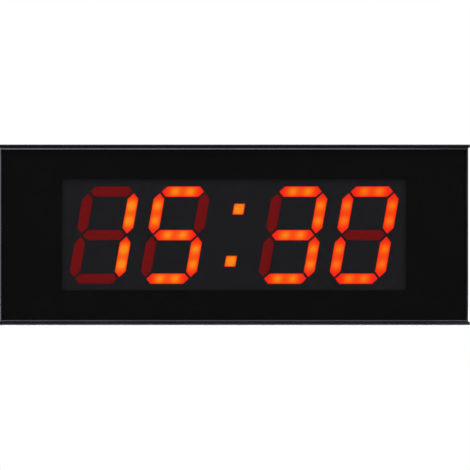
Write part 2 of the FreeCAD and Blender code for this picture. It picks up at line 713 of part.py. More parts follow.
def leds():
    """Two LEDs behind each segment and one behind each colon dot."""
    body = new_body("leds")
    sketch = add_sketch(body, "XZ_Plane", LED_BOARD_FRONT)
    centre = DIGIT_CENTRES["hour_tens"]
    bar = "(digit_height / 2 - bar_stroke / 2)"
    for level in (f"-{bar}", "0", bar):
        for hand in ("-", ""):
            across, up = slanted(f"{hand}bar_led_spacing / 2", level)
            add_square(sketch, f"{centre} + {across}", up, "led_length", "led_width")
    side = "(digit_width - upright_stroke) / 2"
    middle = f"{bar} / 2"
    for hand in ("-", ""):
        for level in (f"-{middle}", middle):
            for step in ("- upright_led_spacing / 2", "+ upright_led_spacing / 2"):
                across, up = slanted(f"{hand}{side}", f"{level} {step}")
                add_square(sketch, f"{centre} + {across}", up, "led_width", "led_length")
    digit = add_pad(body, sketch, "led_thickness")
    repeat(
        body, [digit],
        line_pattern("X_Axis", "digit_pitch", "2"),
        line_pattern("X_Axis", "pair_pitch", "2"),
    )
    dots = add_sketch(body, "XZ_Plane", LED_BOARD_FRONT)
    for hand in ("-", ""):
        add_square(dots, f"{hand}dot_lean + colon_shift", f"{hand}dot_height", "led_length", "led_width")
    add_pad(body, dots, "led_thickness")
    body.setExpression("Placement.Base.z", bound(DISPLAY_MIDDLE))


def support_places():
    """The pillars at the control board's corners."""
    left = f"({CONTROL_LEFT} + control_margin)"
    right = f"({CONTROL_LEFT} + control_length - control_margin)"
    low = f"({CONTROL_LOW} + control_margin)"
    high = f"({CONTROL_HIGH} - control_margin)"
    return [(left, low), (right, low), (right, high), (left, high)]


def add_board_holes(body, front, more=()):
    """Square holes through a board: for the header's pins, the pillars' pegs, and more places."""
    row = add_sketch(body, "XZ_Plane", front)
    add_square(row, FIRST_PIN, HEADER_HEIGHT, "(header_pin + 2 * peg_gap)")
    cut = add_pocket(body, row, "board_thickness")
    repeat(body, [cut], line_pattern("X_Axis", "header_pitch", "header_pins"))
    holes = add_sketch(body, "XZ_Plane", front)
    for across, up in support_places():
        add_square(holes, across, up, "(support_peg + 2 * peg_gap)")
    for across, up in more:
        add_square(holes, across, up, "(reflector_peg + 2 * peg_gap)")
    add_pocket(body, holes, "board_thickness")


def led_board():
    body = new_body("led_board")
    sketch = add_sketch(body, "XZ_Plane", LED_BOARD_BACK)
    face_outline(sketch)
    add_pad(body, sketch, "board_thickness")
    pegs = [(across, f"{up} + {DISPLAY_MIDDLE}") for across, up in reflector_peg_places()]
    add_board_holes(body, LED_BOARD_FRONT, pegs)


def board_supports():
    """Square pillars between the boards, with pegs through both."""
    body = new_body("board_supports")
    pillars = add_sketch(body, "XZ_Plane", CONTROL_FRONT)
    pegs = add_sketch(body, "XZ_Plane", f"{CONTROL_BACK} - peg_overhang")
    for across, up in support_places():
        add_square(pillars, across, up, "support_width")
        add_square(pegs, across, up, "support_peg")
    add_pad(body, pillars, "board_spacing")
    add_pad(body, pegs, "2 * board_thickness + peg_overhang + board_spacing")


# Control board

def control_board():
    body = new_body("control_board")
    sketch = add_sketch(body, "XZ_Plane", CONTROL_BACK)
    add_rectangle(sketch, CONTROL_LEFT, f"{CONTROL_LEFT} + control_length", CONTROL_LOW, CONTROL_HIGH)
    add_pad(body, sketch, "board_thickness")
    add_board_holes(body, CONTROL_FRONT)


def board_link_header():
    """A plastic strip between the boards, with pins through both."""
    body = new_body("board_link_header")
    strip = add_sketch(body, "XZ_Plane", CONTROL_FRONT)
    add_square(strip, "control_centre", HEADER_HEIGHT, "header_pins * header_pitch", "header_width")
    add_pad(body, strip, "board_spacing")
    pin = add_sketch(body, "XZ_Plane", f"{CONTROL_BACK} - peg_overhang")
    add_square(pin, FIRST_PIN, HEADER_HEIGHT, "header_pin")
    one = add_pad(body, pin, "2 * (board_thickness + peg_overhang) + board_spacing")
    repeat(body, [one], line_pattern("X_Axis", "header_pitch", "header_pins"))


def on_control_board(name):
    """A body with its first sketch on the rear face of the control board."""
    body = new_body(name)
    return body, add_sketch(body, "XZ_Plane", CONTROL_BACK)


def control_chips():
    """Two LED drivers and the controller."""
    body, drivers = on_control_board("control_chips")
    for step in ("-1.5", "-0.5"):
        across = f"control_centre + {step} * driver_spacing"
        add_square(drivers, across, CHIP_ROW, "driver_length", "driver_width")
    add_pad(body, drivers, "driver_thickness", reverse=True)
    controller = add_sketch(body, "XZ_Plane", CONTROL_BACK)
    add_square(controller, "control_centre + driver_spacing / 2", CHIP_ROW, "controller_size")
    add_pad(body, controller, "controller_thickness", reverse=True)


def smoothing_capacitor():
    """A can that stands on the board."""
    body, sketch = on_control_board("smoothing_capacitor")
    add_circle(sketch, "socket_centre", CHIP_ROW, "capacitor_radius")
    add_pad(body, sketch, "capacitor_height", reverse=True)


def clock_crystal():
    body, sketch = on_control_board("clock_crystal")
    up = f"({CHIP_ROW} + controller_size / 2 + crystal_width)"
    add_square(sketch, "control_centre + driver_spacing / 2", up, "crystal_length", "crystal_width")
    add_pad(body, sketch, "crystal_height", reverse=True)


def battery_holder():
    """A square block with a round tray and a gap in its lower rim."""
    body, sketch = on_control_board("battery_holder")
    add_square(sketch, CELL_CENTRE, CELL_HEIGHT, "(2 * (cell_radius + fit_gap + holder_wall))")
    add_pad(body, sketch, "cell_thickness + holder_wall", reverse=True)
    rim = f"{CONTROL_BACK} - holder_wall - cell_thickness"
    tray = add_sketch(body, "XZ_Plane", rim)
    add_circle(tray, CELL_CENTRE, CELL_HEIGHT, "cell_radius + fit_gap")
    add_pocket(body, tray, "cell_thickness", reverse=True)
    mouth = add_sketch(body, "XZ_Plane", rim)
    add_rectangle(
        mouth,
        f"{CELL_CENTRE} - holder_mouth / 2", f"{CELL_CENTRE} + holder_mouth / 2",
        f"{CELL_HEIGHT} - cell_radius - 2 * holder_wall", CELL_HEIGHT,
    )
    add_pocket(body, mouth, "cell_thickness", reverse=True)


def backup_battery():
    body = new_body("backup_battery")
    sketch = add_sketch(body, "XZ_Plane", f"{CONTROL_BACK} - holder_wall - cell_thickness")
    add_circle(sketch, CELL_CENTRE, CELL_HEIGHT, "cell_radius")
    add_pad(body, sketch, "cell_thickness")


def dc_jack():
    body = new_body("dc_jack")
    sketch = add_sketch(body, "XY_Plane", SOCKET_MOUTH)
    add_rectangle(
        sketch,
        "socket_centre - socket_width / 2", "socket_centre + socket_width / 2",
        f"-{CONTROL_BACK}", f"-({CONTROL_BACK} - socket_height)",
    )
    add_pad(body, sketch, "socket_length")
    bore = add_sketch(body, "XY_Plane", SOCKET_MOUTH)
    add_circle(bore, "socket_centre", f"-{SOCKET_DEPTH}", "socket_bore_radius")
    add_pocket(body, bore, "socket_bore_depth", reverse=True)
    root = add_sketch(body, "XY_Plane", f"{SOCKET_MOUTH} + socket_bore_depth")
    add_square(root, "socket_centre", f"-{SOCKET_DEPTH}", "socket_root")
    add_pocket(body, root, "socket_root_length", reverse=True)


def dc_jack_pin():
    """The centre pin, with a thin root that goes into the socket's body."""
    body = new_body("dc_jack_pin")
    floor = f"{SOCKET_MOUTH} + socket_bore_depth"
    pin = add_sketch(body, "XY_Plane", floor)
    add_circle(pin, "socket_centre", f"-{SOCKET_DEPTH}", "socket_pin_radius")
    root = add_sketch(body, "XY_Plane", floor)
    add_square(root, "socket_centre", f"-{SOCKET_DEPTH}", "socket_root")
    add_pad(body, pin, "socket_pin_length", reverse=True)
    add_pad(body, root, "socket_root_length")


# Buttons

def switch_bodies():
    body = new_body("switch_bodies")
    housings = add_sketch(body, "XY_Plane", SWITCH_MOUTH)
    holes = add_sketch(body, "XY_Plane", SWITCH_MOUTH)
    for index in (-1, 0, 1):
        across = button_centre(index)
        add_rectangle(
            housings,
            f"{across} - switch_width / 2", f"{across} + switch_width / 2",
            f"-{CONTROL_BACK}", f"-({CONTROL_BACK} - switch_height)",
        )
        add_square(holes, across, f"-{BUTTON_DEPTH}", "(plunger_width + 2 * body_gap)")
    add_pad(body, housings, "switch_length")
    add_pocket(body, holes, "plunger_hole_depth", reverse=True)


def button(name, index):
    """A cap in the underside, kept in by its collar, and the switch plunger that it sits on."""
    cap = new_body(f"{name}_button")
    face = f"({UNDERSIDE} + button_recess)"
    collar = f"({UNDERSIDE} + rail_wall + body_gap)"
    socket = f"({collar} + button_collar_height - plunger_grip)"
    tube = add_sketch(cap, "XY_Plane", face)
    add_circle(tube, "0", "0", "button_radius")
    block = add_sketch(cap, "XY_Plane", collar)
    add_square(block, "0", "0", "(2 * (button_radius + button_collar))")
    grip = add_sketch(cap, "XY_Plane", socket)
    add_square(grip, "0", "0", "plunger_width")
    add_pad(cap, tube, f"{collar} - {face}")
    add_pad(cap, block, "button_collar_height")
    add_pocket(cap, grip, "plunger_grip", reverse=True)

    plunger = new_body(f"{name}_switch_plunger")
    rod = add_sketch(plunger, "XY_Plane", socket)
    add_square(rod, "0", "0", "plunger_width")
    top = f"{SWITCH_MOUTH} + plunger_hole_depth - button_travel - body_gap"
    add_pad(plunger, rod, f"{top} - {socket}")
    for body in (cap, plunger):
        body.setExpression("Placement.Base.x", bound(button_centre(index)))
        body.setExpression("Placement.Base.y", bound(f"-{BUTTON_DEPTH}"))


rail("top_rail", 1)
bottom_rail()
end_plate("left_end_plate", -1)
end_plate("right_end_plate", 1)
end_plate_screws()
rear_cover()
rear_cover_screws()
front_panel()
window_mask()
display_reflector()
diffusers()
leds()
led_board()
board_supports()
control_board()
board_link_header()
control_chips()
smoothing_capacitor()
clock_crystal()
battery_holder()
backup_battery()
dc_jack()
dc_jack_pin()
switch_bodies()
for place, label in enumerate(("set", "down", "up"), start=-1):
    button(label, place)
doc.recompute()

for item in doc.Objects:
    if "Invalid" in item.State or "Error" in item.State:
        raise RuntimeError(f"{item.Name} failed: {item.State}")
os.makedirs("parts", exist_ok=True)
for body in doc.findObjects("PartDesign::Body"):
    if body.Shape.isNull() or not body.Shape.isValid():
        raise RuntimeError(f"{body.Label} has no valid shape")
    body.Shape.exportStep(f"parts/{body.Label}.step")
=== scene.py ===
import math

import bpy
import numpy as np
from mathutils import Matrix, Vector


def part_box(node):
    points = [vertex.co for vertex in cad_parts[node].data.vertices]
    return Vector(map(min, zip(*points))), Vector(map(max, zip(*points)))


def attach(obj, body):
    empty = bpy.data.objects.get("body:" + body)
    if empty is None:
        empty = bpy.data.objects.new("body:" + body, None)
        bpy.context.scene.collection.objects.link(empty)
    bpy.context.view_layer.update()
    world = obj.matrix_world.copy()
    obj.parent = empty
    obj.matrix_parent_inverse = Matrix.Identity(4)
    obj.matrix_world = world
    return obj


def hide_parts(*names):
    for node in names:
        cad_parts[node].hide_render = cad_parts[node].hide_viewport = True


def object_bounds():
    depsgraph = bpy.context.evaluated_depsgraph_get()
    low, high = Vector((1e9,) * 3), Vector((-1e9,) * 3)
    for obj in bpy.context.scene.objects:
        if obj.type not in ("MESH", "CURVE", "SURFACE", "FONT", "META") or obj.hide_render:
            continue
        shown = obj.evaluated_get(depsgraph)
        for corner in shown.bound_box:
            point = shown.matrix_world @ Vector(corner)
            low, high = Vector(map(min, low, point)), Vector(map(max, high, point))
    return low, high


# Digital wall clock: black anodised frame, glossy smoked panel, slanted red digits that read 15:30.
# Metres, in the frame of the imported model: +X to the reader's right, +Z up, the display faces -Y.

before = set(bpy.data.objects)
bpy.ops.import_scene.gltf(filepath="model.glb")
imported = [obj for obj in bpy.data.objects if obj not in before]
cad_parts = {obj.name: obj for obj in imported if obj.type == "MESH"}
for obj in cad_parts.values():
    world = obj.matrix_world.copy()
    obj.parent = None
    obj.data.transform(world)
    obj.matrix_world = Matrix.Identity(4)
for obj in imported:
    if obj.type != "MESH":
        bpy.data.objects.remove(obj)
CAD_BOX = [list(corner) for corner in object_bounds()]
MM = 0.001

# Camera: straight on, with the front of the case filling the width of a square picture. The middle
# of the picture is PICTURE_MIDDLE from the middle of the case, across and up.

FRONT_DISTANCE = 2.5
PICTURE_WIDTH = 0.36012
PICTURE_MIDDLE = (0.00073, -0.00018)

camera = bpy.data.objects.new("camera", bpy.data.cameras.new("camera"))
camera.data.lens = camera.data.sensor_width * FRONT_DISTANCE / PICTURE_WIDTH
camera.location = (PICTURE_MIDDLE[0], CAD_BOX[0][1] - FRONT_DISTANCE, PICTURE_MIDDLE[1])
camera.rotation_euler = (math.pi / 2, 0, 0)
camera.data.clip_end = 50
bpy.context.scene.collection.objects.link(camera)
bpy.context.scene.camera = camera
bpy.context.scene.view_settings.view_transform = "Standard"


# Materials

# A Mix node's sockets where it mixes colours: its inputs A and B and its result.
COLOUR_A, COLOUR_B, MIXED = 6, 7, 2


def linear(code):
    """An sRGB hex colour as the linear colour that a shader takes."""
    values = [int(code[i:i + 2], 16) / 255 for i in (1, 3, 5)]
    return [v / 12.92 if v <= 0.04045 else ((v + 0.055) / 1.055) ** 2.4 for v in values] + [1.0]


def add(tree, kind, inputs=None, **settings):
    """Adds a node. An input is given a value, or another node's output that it is linked to."""
    made = tree.nodes.new(f"ShaderNode{kind}")
    for name, value in settings.items():
        setattr(made, name, value)
    for socket, value in (inputs or {}).items():
        if isinstance(value, bpy.types.NodeSocket):
            tree.links.new(value, made.inputs[socket])
        else:
            made.inputs[socket].default_value = value
    return made


def blank_material(name):
    """A material without nodes, and its tree."""
    material = bpy.data.materials.new(name)
    material.use_nodes = True
    material.node_tree.nodes.clear()
    return material, material.node_tree


def stretched(tree, grain):
    """Object coordinates counted in grains: grain is its size in millimetres along X, Y and Z."""
    place = add(tree, "TexCoord").outputs["Object"]
    scale = [1 / (MM * size) for size in grain]
    return add(tree, "Mapping", {"Vector": place, "Scale": scale}).outputs["Vector"]


def grained(name, dark, pale, grain, roughness, relief, patch=25, **surface):
    """A finish whose colour and gloss wander over patches and whose relief is a fine grain.

    dark and pale are the ends of its colour, grain is in millimetres along X, Y and Z, roughness is
    a pair, relief is the height of the grain in millimetres, and patch the size of the patches.
    """
    material, tree = blank_material(name)
    fine = add(tree, "TexNoise", {
        "Vector": stretched(tree, grain), "Scale": 1.0, "Detail": 3.0}).outputs["Fac"]
    broad = add(tree, "TexNoise", {
        "Vector": stretched(tree, (patch,) * 3), "Scale": 1.0, "Detail": 2.0}).outputs["Fac"]
    both = add(tree, "Math", {0: fine, 1: broad}, operation="ADD").outputs[0]
    share = add(tree, "MapRange", {
        "Value": both, "From Min": 0.7, "From Max": 1.3}).outputs["Result"]
    colour = add(tree, "Mix", {
        "Factor": share, COLOUR_A: linear(dark), COLOUR_B: linear(pale)}, data_type="RGBA")
    rough = add(tree, "MapRange", {"Value": share, "To Min": roughness[0], "To Max": roughness[1]})
    bump = add(tree, "Bump", {"Height": fine, "Distance": relief * MM, "Strength": 1.0})
    shader = add(tree, "BsdfPrincipled", {
        "Base Color": colour.outputs[MIXED],
        "Roughness": rough.outputs["Result"],
        "Normal": bump.outputs["Normal"],
        **{socket.replace("_", " "): value for socket, value in surface.items()},
    })
    add(tree, "OutputMaterial", {"Surface": shader.outputs["BSDF"]})
    return material


# Extruded 6063 aluminium, blasted, dyed black and sealed: a soft metallic sheen with faint lines
# along the extrusion. The lines are drawn 0.25 mm apart so that they show.
BLACK_ANODISED = grained(
    "black_anodised_aluminium", "#45464c", "#4f5056", (60, 0.25, 0.25), (0.16, 0.24), 0.0015,
    patch=40, Metallic=1.0)
# The flat end plates are cut from sheet and anodised in the same way. Their grain has no direction.
BLACK_ANODISED_PLATE = grained(
    "black_anodised_plate", "#303136", "#45464c", (0.3, 0.3, 0.3), (0.38, 0.5), 0.006,
    patch=30, Metallic=1.0)
# Steel with black oxide: nearly black, a little oily gloss.
BLACK_OXIDE = grained(
    "black_oxide_steel", "#1b1b1d", "#303034", (0.2, 0.2, 0.2), (0.28, 0.4), 0.003,
    patch=2, Metallic=1.0)
# Steel sheet with black powder coat: an even orange-peel texture of about half a millimetre.
POWDER_COAT = grained(
    "black_powder_coat", "#141416", "#1e1e20", (0.6, 0.6, 0.6), (0.5, 0.62), 0.03,
    patch=40, IOR=1.5)
# Black ink screened on clear film: deep black, smooth, with the screen's mesh as a 0.3 mm relief.
SCREENED_INK = grained(
    "screened_black_ink", "#0a0a0b", "#0e0e10", (0.3, 0.3, 0.3), (0.22, 0.3), 0.002,
    patch=60, IOR=1.5)
# ABS moulded in a spark-eroded tool: matt charcoal.
SATIN_ABS = grained(
    "satin_abs", "#18181a", "#222225", (0.25, 0.25, 0.25), (0.4, 0.52), 0.008,
    patch=6, IOR=1.53)
# Glass-filled PBT of sockets, switches and the header: dull, with a faint flow pattern.
BLACK_PBT = grained(
    "black_pbt", "#101011", "#1b1b1c", (0.4, 0.4, 0.8), (0.45, 0.6), 0.01,
    patch=5, IOR=1.57)
# Acetal plungers: waxy dark grey.
GREY_ACETAL = grained(
    "grey_acetal", "#2c2c2e", "#3a3a3c", (0.3, 0.3, 0.3), (0.35, 0.45), 0.004,
    patch=4, IOR=1.48)
# Natural nylon pillars: milky.
NATURAL_NYLON = grained(
    "natural_nylon", "#cfccc0", "#e2dfd4", (0.5, 0.5, 0.5), (0.4, 0.5), 0.006,
    patch=4, IOR=1.53, Subsurface_Weight=0.2, Subsurface_Scale=0.002)
# Epoxy moulding compound of chips: grey-black and matt.
CHIP_EPOXY = grained(
    "chip_epoxy", "#1a1a1b", "#29292a", (0.15, 0.15, 0.15), (0.55, 0.7), 0.006,
    patch=3, IOR=1.55)
# Aluminium can in a shrunk PET sleeve: dark blue-black and glossy.
CAPACITOR_SLEEVE = grained(
    "capacitor_sleeve", "#12162a", "#1c2240", (1.5, 1.5, 1.5), (0.18, 0.28), 0.01,
    patch=6, IOR=1.57)
# Drawn and tinned metal, of the crystal's can and the chips' leads.
TINNED_METAL = grained(
    "tinned_metal", "#b9b9b6", "#d4d4d2", (0.2, 0.2, 2.0), (0.2, 0.34), 0.003,
    patch=4, Metallic=1.0)
# Stainless shell of the cell, turned.
STAINLESS_CELL = grained(
    "stainless_cell", "#a8a8a6", "#c9c9c6", (3.0, 0.3, 0.15), (0.22, 0.36), 0.002,
    patch=6, Metallic=1.0)
# Nickel on brass, of the socket's pin and the header's pins.
NICKEL_PLATE = grained(
    "nickel_plate", "#b4b2aa", "#cfcdc6", (0.15, 0.15, 1.5), (0.14, 0.24), 0.002,
    patch=3, Metallic=1.0)
# White polyphthalamide bodies of the LEDs.
WHITE_PPA = grained(
    "white_ppa", "#dcdad2", "#eeece5", (0.3, 0.3, 0.3), (0.5, 0.6), 0.004,
    patch=3, IOR=1.6)


def circuit_board():
    """FR-4 laminate under green solder mask: copper tracks show as paler lines that stand proud.

    They run as square contours round scattered points, one in each cell, and broad patches vary the
    mask. A track's sides are soft between the two distances of side from its middle line. Lengths
    are in millimetres.
    """
    cell, pitch, side, copper = 16, 1.3, (0.184, 0.264), 0.03
    material, tree = blank_material("green_solder_mask")
    points = add(tree, "TexVoronoi", {
        "Vector": stretched(tree, (cell,) * 3), "Scale": 1.0, "Randomness": 0.9},
        distance="CHEBYCHEV")
    lanes = add(tree, "Math", {
        0: points.outputs["Distance"], 1: pitch / 2 / cell}, operation="PINGPONG")
    track = add(tree, "MapRange", {
        "Value": lanes.outputs[0], "From Min": side[0] / cell, "From Max": side[1] / cell,
        "To Min": 1.0, "To Max": 0.0}).outputs["Result"]
    patches = add(tree, "TexNoise", {
        "Vector": stretched(tree, (12, 12, 12)), "Scale": 1.0, "Detail": 3.0})
    mask = add(tree, "Mix", {
        "Factor": patches.outputs["Fac"], COLOUR_A: linear("#0a401f"), COLOUR_B: linear("#0e4c26")},
        data_type="RGBA")
    colour = add(tree, "Mix", {
        "Factor": track, COLOUR_A: mask.outputs[MIXED], COLOUR_B: linear("#1a6335")},
        data_type="RGBA")
    bump = add(tree, "Bump", {"Height": track, "Distance": copper * MM})
    shader = add(tree, "BsdfPrincipled", {
        "Base Color": colour.outputs[MIXED], "Roughness": 0.28, "IOR": 1.55,
        "Normal": bump.outputs["Normal"]})
    add(tree, "OutputMaterial", {"Surface": shader.outputs["BSDF"]})
    return material


# The share of light that passes the panel, as a colour.
SMOKE = "#b4b4b9"


def smoked_acrylic():
    """Cast acrylic, smoked and polished: mirror gloss with a very faint long ripple.

    The light of the lamps passes it, and each of its two faces takes the square root of the tint.
    """
    material, tree = blank_material("smoked_cast_acrylic")
    ripple = add(tree, "TexNoise", {
        "Vector": stretched(tree, (45, 45, 45)), "Scale": 1.0, "Detail": 1.0})
    haze = add(tree, "TexNoise", {
        "Vector": stretched(tree, (9, 9, 9)), "Scale": 1.0, "Detail": 4.0})
    rough = add(tree, "MapRange", {"Value": haze.outputs["Fac"], "To Min": 0.012, "To Max": 0.035})
    bump = add(tree, "Bump", {
        "Height": ripple.outputs["Fac"], "Distance": 0.02 * MM, "Strength": 0.6})
    glass = add(tree, "BsdfPrincipled", {
        "Base Color": linear(SMOKE), "Roughness": rough.outputs["Result"], "IOR": 1.49,
        "Transmission Weight": 1.0, "Normal": bump.outputs["Normal"]})
    clear = add(tree, "BsdfTransparent", {"Color": [math.sqrt(part) for part in linear(SMOKE)]})
    ray = add(tree, "LightPath")
    either = add(tree, "MixShader", {
        0: ray.outputs["Is Shadow Ray"], 1: glass.outputs["BSDF"], 2: clear.outputs["BSDF"]})
    add(tree, "OutputMaterial", {"Surface": either.outputs["Shader"]})
    return material


# The mask's clear window, and how far the shade painted inside each of its edges reaches in.
WINDOW_WIDTH, WINDOW_HEIGHT = 264.2 * MM, 85.4 * MM
WINDOW_PAINTED_SHADE = {"left": 3.6 * MM, "right": 3.0 * MM, "top": 4.5 * MM, "bottom": 1.8 * MM}


def reflector_face():
    """Charcoal ABS from a spark-eroded tool, with shade painted into its colour along the window's
    edges.

    The painted shade stands for the mask keeping the light off there: the colour darkens by the
    distance inside the window over its width at that edge.
    """
    material, tree = blank_material("charcoal_abs")
    grain = add(tree, "TexNoise", {
        "Vector": stretched(tree, (0.35, 0.35, 0.35)), "Scale": 1.0, "Detail": 3.0})
    patches = add(tree, "TexNoise", {
        "Vector": stretched(tree, (35, 35, 35)), "Scale": 1.0, "Detail": 2.0})
    place = add(tree, "SeparateXYZ", {"Vector": add(tree, "TexCoord").outputs["Object"]})
    # Painted shade: light is 1 in the open window and falls to 0 at its edges.
    light = 1.0
    for edge, axis, side, length in (
            ("left", "X", -1, WINDOW_WIDTH), ("right", "X", 1, WINDOW_WIDTH),
            ("bottom", "Z", -1, WINDOW_HEIGHT), ("top", "Z", 1, WINDOW_HEIGHT)):
        share = add(tree, "MapRange", {
            "Value": place.outputs[axis], "From Min": side * length / 2,
            "From Max": side * (length / 2 - WINDOW_PAINTED_SHADE[edge])}, interpolation_type="SMOOTHSTEP")
        light = add(tree, "Math", {
            0: light, 1: share.outputs["Result"]}, operation="MULTIPLY").outputs[0]
    tone = add(tree, "Mix", {
        "Factor": patches.outputs["Fac"], COLOUR_A: linear("#1f1f22"), COLOUR_B: linear("#252528")},
        data_type="RGBA")
    # The painted shade darkens the colour to near black at the window's edges.
    colour = add(tree, "Mix", {
        "Factor": light, COLOUR_A: linear("#060607"), COLOUR_B: tone.outputs[MIXED]},
        data_type="RGBA")
    rough = add(tree, "MapRange", {"Value": grain.outputs["Fac"], "To Min": 0.7, "To Max": 0.85})
    bump = add(tree, "Bump", {"Height": grain.outputs["Fac"], "Distance": 0.012 * MM})
    shader = add(tree, "BsdfPrincipled", {
        "Base Color": colour.outputs[MIXED], "Roughness": rough.outputs["Result"], "IOR": 1.53,
        "Specular IOR Level": 0.2, "Normal": bump.outputs["Normal"]})
    add(tree, "OutputMaterial", {"Surface": shader.outputs["BSDF"]})
    return material


# How a lit stroke's colour, seen through the panel, follows the light that reaches it.
GLOW = (
    (0.0, "#f91802"), (0.06, "#fb2201"), (0.13, "#fd3200"), (0.3, "#ff4f00"), (0.5, "#ff6401"),
    (0.75, "#ff7905"), (1.0, "#ff8e0c"))


def diffuser_material(name, lit):
    """Dyed polycarbonate with a frosted face and faint streaks about 1 mm wide across the stroke.

    A lit piece glows by its glow attribute: amber over its LEDs, red towards its ends and edges.
    Its colours are written as they show through the panel, so it is brighter by as much as the
    panel takes away.
    """
    material, tree = blank_material(name)
    place = add(tree, "Attribute", attribute_name="stroke_place").outputs["Vector"]
    drawn_out = add(tree, "Mapping", {"Vector": place, "Scale": (900, 90, 1)}).outputs["Vector"]
    streaks = add(tree, "TexNoise", {
        "Vector": drawn_out, "Scale": 1.0, "Detail": 2.0}).outputs["Fac"]
    frost = add(tree, "TexNoise", {
        "Vector": stretched(tree, (0.3, 0.3, 0.3)), "Scale": 1.0, "Detail": 2.0}).outputs["Fac"]
    rough = add(tree, "MapRange", {"Value": frost, "To Min": 0.5, "To Max": 0.65})
    bump = add(tree, "Bump", {"Height": frost, "Distance": 0.01 * MM})
    dark, pale = ("#3c0a06", "#4a0c07") if lit else ("#b00304", "#c20507")
    paleness = add(tree, "MapRange", {"Value": streaks, "From Min": 0.3, "From Max": 0.7})
    tone = add(tree, "Mix", {
        "Factor": paleness.outputs["Result"], COLOUR_A: linear(dark), COLOUR_B: linear(pale)},
        data_type="RGBA")
    sockets = {
        "Base Color": tone.outputs[MIXED], "Roughness": rough.outputs["Result"], "IOR": 1.58,
        "Specular IOR Level": 0.05, "Normal": bump.outputs["Normal"]}
    if lit:
        glow = add(tree, "Attribute", attribute_name="glow").outputs["Fac"]
        wander = add(tree, "MapRange", {"Value": streaks, "To Min": 0.88, "To Max": 1.12})
        share = add(tree, "Math", {0: glow, 1: wander.outputs["Result"]}, operation="MULTIPLY")
        colour = add(tree, "ValToRGB", {"Fac": share.outputs[0]})
        ramp = colour.color_ramp.elements
        while len(ramp) < len(GLOW):
            ramp.new(0.5)
        for stop, (position, code) in zip(ramp, GLOW):
            stop.position = position
            stop.color = linear(code)
        sockets |= {
            "Emission Color": colour.outputs["Color"], "Emission Strength": 1 / linear(SMOKE)[0]}
    shader = add(tree, "BsdfPrincipled", sockets)
    add(tree, "OutputMaterial", {"Surface": shader.outputs["BSDF"]})
    return material


LIT_POLYCARBONATE = diffuser_material("red_polycarbonate_lit", True)
UNLIT_POLYCARBONATE = diffuser_material("red_polycarbonate_unlit", False)
SMOKED_ACRYLIC = smoked_acrylic()
CHARCOAL_ABS = reflector_face()
SOLDER_MASK = circuit_board()


# Shapes and pieces

def box_of(node):
    """The lowest and the highest corner of a CAD node's box, in millimetres."""
    return [np.array(corner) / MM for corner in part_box(node)]


def ring_faces(rings):
    """Quads between each ring of points and the next, round a grid of rings by points."""
    rows, columns = rings.shape[:2]
    row = np.arange(rows - 1)[:, None] * columns
    column = np.arange(columns)[None, :]
    after = (column + 1) % columns
    quads = np.stack([
        row + column, row + after, row + columns + after, row + columns + column], axis=-1)
    return quads.reshape(-1, 4)


def closed_skin(rings):
    """Points, quads and triangles of a skin over the rings, with a fan over the first and the last.

    The skin is turned outwards: its volume by the divergence theorem is made positive.
    """
    rows, columns = rings.shape[:2]
    points = np.concatenate([rings.reshape(-1, 3), rings[:1].mean(axis=1), rings[-1:].mean(axis=1)])
    quads = ring_faces(rings)
    around = np.arange(columns)
    after = (around + 1) % columns
    last = (rows - 1) * columns
    first_end, last_end = (np.full(columns, rows * columns + number) for number in (0, 1))
    first_fan = np.stack([after, around, first_end], axis=-1)
    last_fan = np.stack([last + around, last + after, last_end], axis=-1)
    triangles = np.concatenate([first_fan, last_fan])
    split = np.concatenate([quads[:, [0, 1, 2]], quads[:, [0, 2, 3]], triangles])
    a, b, c = (points[split[:, i]] for i in range(3))
    if np.einsum("ij,ij->", a, np.cross(b, c)) < 0:
        quads, triangles = quads[:, ::-1], triangles[:, ::-1]
    return points, quads, triangles


def joined(skins):
    """Several skins as one."""
    points, quads, triangles, start = [], [], [], 0
    for some_points, some_quads, some_triangles in skins:
        points.append(some_points)
        quads.append(some_quads + start)
        triangles.append(some_triangles + start)
        start += len(some_points)
    return np.concatenate(points), np.concatenate(quads), np.concatenate(triangles)


def add_piece(name, skin, material, crease=40):
    """A mesh object from points in metres, smooth but for edges sharper than crease degrees."""
    points, quads, triangles = skin
    mesh = bpy.data.meshes.new(name)
    mesh.from_pydata(points, [], [*quads.tolist(), *triangles.tolist()])
    mesh.shade_smooth()
    mesh.set_sharp_from_angle(angle=math.radians(crease))
    mesh.materials.append(material)
    piece = bpy.data.objects.new(name, mesh)
    bpy.context.scene.collection.objects.link(piece)
    return piece


def stand_for(piece, node, body):
    """The piece replaces the CAD node, which is hidden, and moves with its body."""
    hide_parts(node)
    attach(piece, body)


def full_turn(count):
    """Angles round a circle."""
    return np.linspace(0, 2 * np.pi, count, endpoint=False)


def polar(reach, turn, height):
    """Points at a reach from the Z axis, a turn round it and a height. Each may be an array."""
    x, y = reach * np.cos(turn), reach * np.sin(turn)
    return np.stack(np.broadcast_arrays(x, y, height), axis=-1)


def round_the_axis(profile, count=48):
    """Rings about Z from (radius, height) pairs, or from (radius, height, flats) where the radius
    is the distance to the flats of a hexagon."""
    turn = full_turn(count)
    hexagon = 1 / np.cos((turn + np.pi / 6) % (np.pi / 3) - np.pi / 6)
    return np.array([
        polar(radius * (hexagon if flats else 1), turn, height)
        for radius, height, *flats in profile])


def raised(outline, profile):
    """Rings of an outline, drawn in and raised by the (inset, height) pairs of a profile."""
    rings = []
    for inset, height in profile:
        flat = outline(inset)
        rings.append(np.column_stack([flat, np.full(len(flat), height)]))
    return np.array(rings)


def points_round(corners, steps):
    """Points along a closed outline: steps says how many follow each of its edges."""
    corners = np.array(corners, float)
    shares = [np.linspace(0, 1, count, endpoint=False)[:, None] for count in steps]
    ends = np.roll(corners, -1, axis=0)
    return np.concatenate([
        start + (end - start) * share for start, end, share in zip(corners, ends, shares)])


def rectangle(half_across, half_up, steps=1):
    """Points round a rectangle, with as many steps along each side."""
    corners = [
        (half_across, -half_up), (half_across, half_up),
        (-half_across, half_up), (-half_across, -half_up)]
    return points_round(corners, (steps,) * 4)


